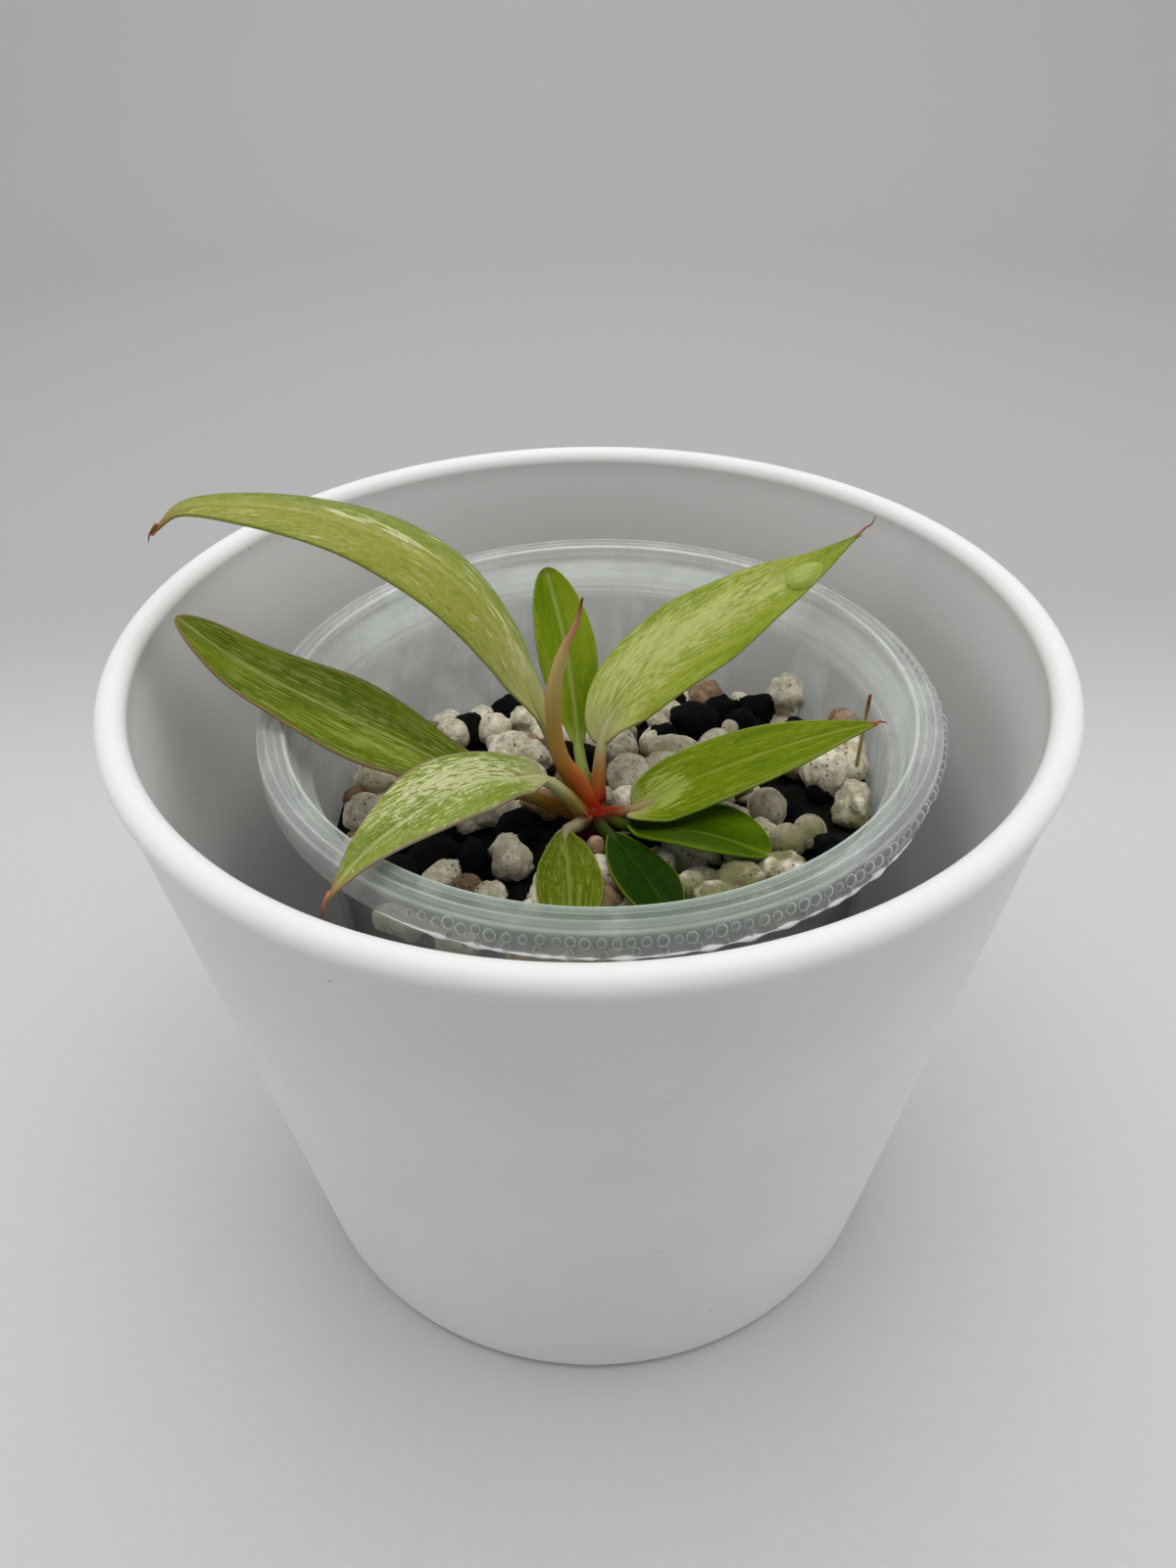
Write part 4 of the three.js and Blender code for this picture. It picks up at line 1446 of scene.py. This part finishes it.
LEAVES: list[Leaf] = [
    Leaf(
        "leaf_1_arching_left",
        midrib=[(-1.2, -7.6, 97), (-5, -5, 104.5), (-8.7, -2.8, 114.5), (-13.5, 0, 126), (-21, 3, 136),
                (-31, 5, 143), (-42, 5.5, 147.6), (-54, 5, 150.2), (-65, 4.5, 150.2), (-71, 4, 145.5)],
        face=[(0.95, -0.3, 0.3), (0.6, -0.2, 0.8), (0.3, -0.05, 1), (0, -0.05, 1)],
        petiole=0.16, half_width=7.7, widest=0.45, base_full=0.7, tip_full=0.95, fold=(-13, -2),
        curl=(-0.1, -0.1), side=(1, 1.05), wave=0.03, waves=2,
        skin=BladeSkin(
            "arching blade", green=tint(140, 144, 48), deep=tint(126, 134, 32), creamy=-0.95,
            fleck=(0.22, 1.1), crisp=0.22, spray=0.35, sheen=0.16, veins=0.3, vein=tint(160, 162, 88),
            vein_count=9, margin=tint(126, 142, 40), rib=tint(170, 172, 110), rib_strength=0.3,
            rib_width=0.8, base=tint(164, 162, 100), base_to=0.28, tip=tint(168, 116, 72), tip_from=0.9,
            roughness=0.36, seed=11,
            washes=(Wash((0.55, 0.72), (0.42, 0.5), 0.85, tint(104, 124, 20)),
                    Wash((0.12, 0.85), (0.2, 0.3), 0.7, tint(104, 124, 20)),
                    Wash((0.52, 0.22), (0.2, 0.25), 0.9), Wash((0.4, 0.6), (0.6, 0.6), 0.3),
                    Wash((0.75, 0.45), (0.2, 0.3), 0.3), Wash((0.08, 0.2), (0.2, 0.9), 0.7))),
        stalk=(tint(128, 84, 24), tint(152, 150, 84))),
    Leaf(
        "leaf_2_broad_left",
        midrib=[(-1.6, -10, 96.5), (-9, -11, 101), (-18, -10.5, 105), (-26, -9, 108.5), (-34, -7.5, 112.5),
                (-43, -6, 117), (-51, -4.5, 121), (-59, -3.5, 126), (-67.5, -3, 134)],
        face=[(0.2, -0.1, 1), (0.3, -0.15, 1), (0.4, -0.1, 1)],
        petiole=0.24, half_width=9.5, widest=0.45, base_full=0.7, tip_full=0.55, fold=(6, 2), curl=(0, 0),
        side=(1, 0.95), wave=0.05, waves=2,
        skin=BladeSkin(
            "broad blade", green=tint(98, 114, 0), deep=tint(70, 89, 0), cream=tint(154, 162, 78),
            creamy=-1.1, fleck=(0.12, 1.7), crisp=0.35, spray=0.35, sheen=0.08, veins=0.6,
            vein=tint(150, 158, 82), vein_count=12, margin=tint(146, 112, 84), margin_strength=0.8,
            margin_width=0.4, rib=tint(150, 158, 88), rib_strength=0.6, base=tint(150, 156, 100),
            base_to=0.12, tip=tint(132, 120, 60), tip_from=0.985, roughness=0.36, seed=23,
            washes=(Wash((0.36, -0.25), (0.26, 0.6), 0.5),)),
        stalk=(tint(112, 74, 20), tint(134, 112, 50))),
    Leaf(
        "leaf_3_cream_near_left",
        midrib=[(-1, -10.8, 97), (-4.5, -12.5, 103.5), (-8, -14, 107.5), (-15.5, -20, 113),
                (-21.5, -28, 116.5), (-27, -38, 119.5), (-32, -48, 121.5), (-36, -56, 120.5)],
        face=[(0, -0.2, 1), (0.1, -0.2, 1), (0, -0.2, 1)],
        petiole=0.2, half_width=8.4, widest=0.42, base_full=0.6, tip_full=1.1, fold=(20, 32),
        curl=(-0.1, -0.2), side=(1, 0.84), wave=0.03, waves=2,
        skin=BladeSkin(
            "cream blade", green=tint(122, 138, 30), deep=tint(100, 122, 8), cream=tint(200, 202, 154),
            creamy=-0.3, fleck=(0.5, 1.8), crisp=0.1, spray=0.4, veins=0.25, vein=tint(200, 202, 150),
            margin=tint(150, 124, 112), margin_strength=0.8, margin_width=0.35, rib=tint(190, 192, 140),
            base=tint(180, 180, 128), base_to=0.14, tip=tint(168, 128, 76), tip_from=0.9, roughness=0.42,
            seed=37,
            washes=(Wash((0.3, 0.3), (0.3, 0.7), 0.35), Wash((0.55, -0.75), (0.5, 0.5), -0.4),
                    Wash((0.9, 0.0), (0.25, 1.5), -0.5))),
        stalk=(tint(136, 112, 46), tint(172, 172, 120))),
    Leaf(
        "leaf_4_upright_back",
        midrib=[(0.2, -7.4, 97), (-1.3, -2, 101), (-2.2, 4, 105.5), (-3, 9, 111.5), (-4.2, 14, 118.5),
                (-5.8, 18, 124), (-7.4, 21, 129.5)],
        face=[(0.1, -0.7, 0.7), (0.2, -0.7, 0.7), (0.3, -0.7, 0.7)],
        petiole=0.22, half_width=5.6, widest=0.56, base_full=0.8, tip_full=0.5, fold=(8, 8), curl=(0, 0),
        side=(1, 1), wave=0.04, waves=2,
        skin=BladeSkin(
            "upright blade", green=tint(122, 142, 26), deep=tint(98, 122, 6), creamy=-2.2, spray=0.06,
            veins=0.2, vein=tint(116, 134, 40), rib=tint(146, 162, 84), rib_strength=0.75, rib_width=0.55,
            base=tint(140, 152, 66), base_to=0.2, tip=tint(100, 118, 24), roughness=0.45, seed=41),
        stalk=(tint(120, 92, 22), tint(132, 146, 70)), slot="leaf_green"),
    Leaf(
        "leaf_5_pale_right",
        midrib=[(1.5, -7.6, 97.5), (2, -3, 104), (3.5, 1, 109), (8.5, 6, 114), (17, 12, 118),
                (29.5, 19, 123), (42, 25, 127), (51, 28, 132)],
        face=[(-0.3, -0.7, 0.6), (-0.3, -0.5, 0.8), (-0.2, -0.45, 0.85)],
        petiole=0.14, half_width=8.5, widest=0.4, base_full=0.62, tip_full=1.1, fold=(4, 4), curl=(0, 0),
        side=(1, 1), wave=0.05, waves=3,
        skin=BladeSkin(
            "pale blade", green=tint(136, 148, 40), deep=tint(116, 132, 14), cream=tint(182, 187, 118),
            creamy=-0.45, fleck=(0.4, 2.4), crisp=0.8, spray=0.45, veins=0.25, vein=tint(176, 182, 112),
            vein_count=10, base=tint(160, 162, 104), base_to=0.16, margin=tint(140, 155, 60),
            rib=tint(160, 170, 88), rib_strength=0.3, tip=tint(136, 146, 50), tip_from=0.99, roughness=0.42,
            seed=53,
            washes=(Wash((0.3, -0.3), (0.28, 0.7), 0.8), Wash((0.62, -0.1), (0.22, 0.5), 0.7),
                    Wash((0.5, 0.8), (0.5, 0.35), -1.3), Wash((0.92, 0.0), (0.2, 1.5), -1.0))),
        stalk=(tint(146, 90, 36), tint(164, 160, 112))),
    Leaf(
        "leaf_6_long_right",
        midrib=[(2.2, -10, 96.5), (6, -12, 98.6), (9, -13.5, 101), (15, -13, 105), (24, -12, 108.9),
                (34, -10, 111.4), (42, -8, 112.6), (50, -6, 113)],
        face=[(-0.2, -0.35, 0.9), (0, -0.3, 0.95), (0, -0.3, 0.95)],
        petiole=0.14, half_width=7.3, widest=0.34, base_full=0.45, tip_full=0.85, fold=(0, 14), curl=(0, 0),
        side=(0.88, 1), wave=0.04, waves=2,
        skin=BladeSkin(
            "long blade", green=tint(100, 119, 0), deep=tint(85, 106, 0), cream=tint(150, 160, 78),
            creamy=-1.5, fleck=(0.25, 1.6), crisp=0.25, spray=0.25, veins=0.5, vein=tint(138, 152, 46),
            vein_count=9, rib=tint(136, 150, 56), rib_strength=0.5, margin=tint(150, 162, 80),
            base=tint(156, 160, 90), base_to=0.08, tip=tint(168, 92, 56), tip_from=0.965, roughness=0.36,
            seed=67,
            washes=(Wash((0.1, 0.0), (0.22, 1.1), 1.8), Wash((0.55, 0.85), (0.35, 0.3), 0.6),
                    Wash((0.6, -0.7), (0.5, 0.5), 0.6))),
        stalk=(tint(124, 44, 12), tint(152, 130, 92))),
    Leaf(
        "leaf_7_small_right",
        midrib=[(2.2, -11, 96.4), (8, -16, 98.4), (15, -19, 100.6), (22.5, -23, 101.8), (29.5, -28, 102.2)],
        face=[(0, 0, 1), (0, -0.1, 1), (0, -0.1, 1)],
        petiole=0.2, half_width=7.6, widest=0.52, base_full=0.6, tip_full=0.55, fold=(3, 26), curl=(0, 0),
        side=(0.95, 1), wave=0.02, waves=2,
        skin=BladeSkin(
            "small blade", green=tint(78, 102, 4), deep=tint(50, 78, 0), creamy=-2.4, spray=0.04, veins=0.2,
            vein=tint(92, 116, 20), rib=tint(104, 126, 30), rib_strength=0.5, margin=tint(112, 134, 26),
            tip=tint(96, 104, 20), base=tint(56, 74, 4), roughness=0.34, seed=71,
            washes=(Wash((0.5, -0.6), (0.6, 0.5), 0.5, tint(84, 110, 4)),
                    Wash((0.3, 0.6), (0.5, 0.5), 0.8, tint(44, 66, 0)))),
        stalk=(tint(54, 32, 8), tint(54, 68, 8)), slot="leaf_green"),
    Leaf(
        "leaf_8_oval_front",
        midrib=[(-0.3, -11.3, 96.4), (-2.6, -15, 98), (-4.3, -18, 99), (-3.8, -26, 99.8), (-3.4, -34, 99.6),
                (-3.2, -43, 98)],
        face=[(0, 0, 1), (0, 0, 1)],
        petiole=0.2, half_width=5.5, widest=0.58, base_full=0.6, tip_full=0.6, fold=(6, 6), curl=(0, 0),
        side=(1, 1), wave=0.02, waves=2,
        skin=BladeSkin(
            "oval blade", green=tint(86, 100, 4), deep=tint(70, 86, 0), cream=tint(136, 142, 72),
            creamy=-1.5, fleck=(0.15, 1.6), spray=0.3, veins=0.6, vein=tint(132, 140, 66), vein_count=9,
            rib=tint(130, 138, 66), base=tint(150, 146, 104), base_to=0.09, tip=tint(100, 112, 20),
            roughness=0.38, seed=83,
            washes=(Wash((0.2, 0.1), (0.25, 0.7), 0.8),)),
        stalk=(tint(66, 44, 16), tint(142, 132, 98))),
    Leaf(
        "leaf_9_dark_front",
        midrib=[(1.2, -11.3, 96.3), (2.6, -16, 97.8), (4.8, -20, 98.8), (7.8, -27, 99.5), (10.5, -34, 100),
                (13, -42, 99)],
        face=[(0.1, 0, 1), (0.1, 0, 1)],
        petiole=0.2, half_width=5.6, widest=0.56, base_full=0.6, tip_full=0.7, fold=(6, 6), curl=(0, 0),
        side=(0.88, 1), wave=0.02, waves=2,
        skin=BladeSkin(
            "dark blade", green=tint(28, 56, 0), deep=tint(18, 44, 0), creamy=-2.4, spray=0.04, veins=0.25,
            vein=tint(44, 72, 8), rib=tint(40, 68, 6), margin=tint(110, 124, 30), margin_strength=0.8,
            base=tint(40, 60, 6), tip=tint(60, 84, 10), roughness=0.34, seed=97),
        stalk=(tint(42, 26, 8), tint(42, 58, 6)), slot="leaf_green"),
]


@dataclass
class Crown:
    """Short stem with its petioles, the rolled young leaf, the dry stalk and the tips' hairs. Millimetres."""

    centre: tuple[float, float] = (0.4, -9.2)
    foot: float = 74
    height: float = 24.4
    outline: tuple[tuple[float, float], ...] = (
        (0, 74), (1.9, 74), (3.1, 78), (3.1, 95.5), (2.7, 97), (1.4, 98.4), (0, 98.4))
    under_blade: float = 0.32
    spear: tuple[Point, ...] = (
        (0.3, -9.4, 97.5), (-2, -9.9, 104), (-4.7, -10.3, 109.5), (-5.8, -10.3, 115.8), (-5.6, -10, 123.7),
        (-3.8, -9, 130.5), (-1.8, -8, 134.5), (-0.7, -7, 138.8))
    spear_radii: tuple[float, ...] = (1.7, 1.5, 1.4, 1.35, 1.4, 1.1, 0.6, 0.2)
    spear_depth: float = 0.72
    stalk: tuple[Point, ...] = ((48.2, -3, 84), (48.5, -2.6, 92), (48.9, -1.9, 104), (49.4, -1.2, 115.5))
    hairs: tuple[tuple[float, tuple[Point, ...]], ...] = (
        (0.3, ((-69.6, 4, 147.2), (-70.5, 4, 146.2), (-71.2, 3.9, 145.2), (-71.5, 3.8, 144.1))),
        (0.32, ((50.4, 27.7, 131.5), (51.8, 28.2, 132.9), (53.0, 28.4, 133.6), (53.6, 28.6, 135.2))),
        (0.35, ((49.4, -6.1, 113), (50.4, -5.8, 113), (51.2, -5.6, 112.8), (51.9, -5.4, 112.4))),
        (0.4, ((-35.6, -55.2, 120.8), (-36.1, -56.4, 120.4), (-36.4, -57.4, 119.7), (-36.5, -58.1, 118.8))))

    def build(self) -> None:
        """Make the stem with its petioles, the young leaf, the stalk and the hairs."""
        self.stem_and_petioles()
        self.young_leaf()
        self.dry_stalk()
        self.tip_hairs()

    def stem_and_petioles(self) -> None:
        """Make the stem and the petioles that leave it, each with its rib under the blade."""
        bm = turned(self.outline, 40, self.centre)
        way = bm.verts.layers.float_vector.new("way")
        for vert in bm.verts:
            vert[way] = ((vert.co.z / MM - self.foot) / self.height, 0, 0)
        finishes = [StalkSkin("stem", ((0, tint(60, 34, 18)), (0.8, tint(84, 26, 2)), (1, tint(116, 22, 0))))]
        for i, leaf in enumerate(LEAVES):
            foot, end = leaf.stalk
            finishes.append(StalkSkin(f"petiole {i + 1}", ((0, tint(140, 20, 0)), (0.14, foot), (0.36, end))))
            share = leaf.petiole + self.under_blade * (1 - leaf.petiole)
            bend = leaf.petiole / share

            def radius(t: float, bend: float = bend) -> float:
                """Radius that tapers along the petiole and dies away under the blade.

                Args:
                    t: Part of the rod's length.
                    bend: Where the blade begins.

                Returns:
                    The radius there.
                """
                if t < bend:
                    return 1.5 - 0.5 * t / bend
                return 1.0 * (1 - (t - bend) / (1 - bend)) ** 0.8 + 0.05

            def drop(t: float, bend: float = bend) -> float:
                """How far the rib lies under the blade."""
                return 0.0 if t < bend else min(1.0, 5.0 * (t - bend))

            rod(bm, leaf.curve, radius, (0, share), drop=drop, faces=leaf.face, finish=i + 1)
        finished("crown_and_petioles", bm, [f.build() for f in finishes], "stem", ["crown_and_petioles"])

    def spear_radius(self, t: float) -> float:
        """Radius of the rolled leaf.

        Args:
            t: Part of its length.

        Returns:
            The radius there.
        """
        f = t * (len(self.spear_radii) - 1)
        i = min(int(f), len(self.spear_radii) - 2)
        return self.spear_radii[i] + (self.spear_radii[i + 1] - self.spear_radii[i]) * smooth(f - i)

    def young_leaf(self) -> None:
        """Make the rolled young leaf."""
        bm = bmesh.new()
        rod(bm, Midrib(self.spear), self.spear_radius, flatten=self.spear_depth, along=90, sides=28)
        skin = StalkSkin("rolled young leaf", ((0, tint(176, 40, 8)), (0.16, tint(186, 96, 42)),
                                               (0.4, tint(176, 138, 70)), (0.72, tint(186, 164, 104)),
                                               (0.9, tint(180, 122, 90)), (1.0, tint(110, 36, 32))), 0.42)
        finished("new_leaf_spear", bm, [skin.build()], "young_leaf", ["new_leaf_spear"])

    def dry_stalk(self) -> None:
        """Make the dry stalk that stands by the clear wall."""
        bm = bmesh.new()
        rod(bm, Midrib(self.stalk), lambda t: 0.46 - 0.14 * t, along=24, sides=10)
        skin = StalkSkin("dry stalk", ((0, tint(140, 134, 60)), (0.8, tint(176, 156, 92)),
                                       (0.97, tint(120, 66, 34))))
        finished("dry_stalk", bm, [skin.build()], "dry_plant", ["dry_stalk"])

    def tip_hairs(self) -> None:
        """Make the dry hairs that four leaf tips end in."""
        bm = bmesh.new()
        for foot, points in self.hairs:
            rod(bm, Midrib(points), lambda t, r=foot: r * (1 - 0.8 * t), along=14, sides=8)
        skin = StalkSkin("tip hair", ((0, tint(172, 130, 84)), (0.5, tint(160, 96, 66)),
                                      (0.95, tint(110, 50, 38))))
        finished("leaf_tip_hairs", bm, [skin.build()], "dry_plant")


@dataclass
class Droplet:
    """Drop of water on a blade. Millimetres."""

    leaf: Leaf
    along_blade: float = 0.79
    across_blade: float = 0.35
    size: Point = (4.0, 2.5, 1.5)
    sunk: float = 0.15

    def build(self) -> None:
        """Lay the drop on its leaf."""
        b, v = self.along_blade, self.across_blade
        along = (self.leaf.point(b + 0.02, v) - self.leaf.point(b - 0.02, v)).normalized()
        side = (self.leaf.point(b, v + 0.1) - self.leaf.point(b, v - 0.1)).normalized()
        up = side.cross(along).normalized()
        up = up if up.z > 0 else -up
        side = up.cross(along)
        centre = self.leaf.point(b, v) + up * 0.1

        def put(way: Vector) -> Vector:
            """Carry a point of a ball to the drop.

            Args:
                way: The point, 1 from the middle.

            Returns:
                Its place in millimetres.
            """
            length, width, height = self.size
            lift = way.z * height * (1.0 if way.z > 0 else self.sunk)
            return centre + along * (way.x * length * (1 + 0.12 * way.x)) + side * (way.y * width) + up * lift

        heap = Heap()
        heap.add(4, put)
        # painted light: the drop is bright yellow-green for the lit leaf seen through it, with a painted
        # highlight round its outline
        clear = Water(tint(192, 204, 104), tint(184, 198, 88), 0.42, 0.7)
        finished("water_drop", heap.mesh(), [clear.build()], self.leaf.slot, face_out=False)


def main() -> None:
    """Build the studio, the pot, the tub, the mix and the plant."""
    logging.basicConfig(level=logging.INFO, format="%(name)s %(message)s")
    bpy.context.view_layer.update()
    Studio().build()
    Pot().build()
    tub = Tub()
    tub.build()
    Mix(tub, [p for leaf in LEAVES for p in leaf.low_points()]).build()
    for leaf in LEAVES:
        leaf.build()
    Crown().build()
    Droplet(LEAVES[4]).build()


if __name__ == "__main__":
    main()
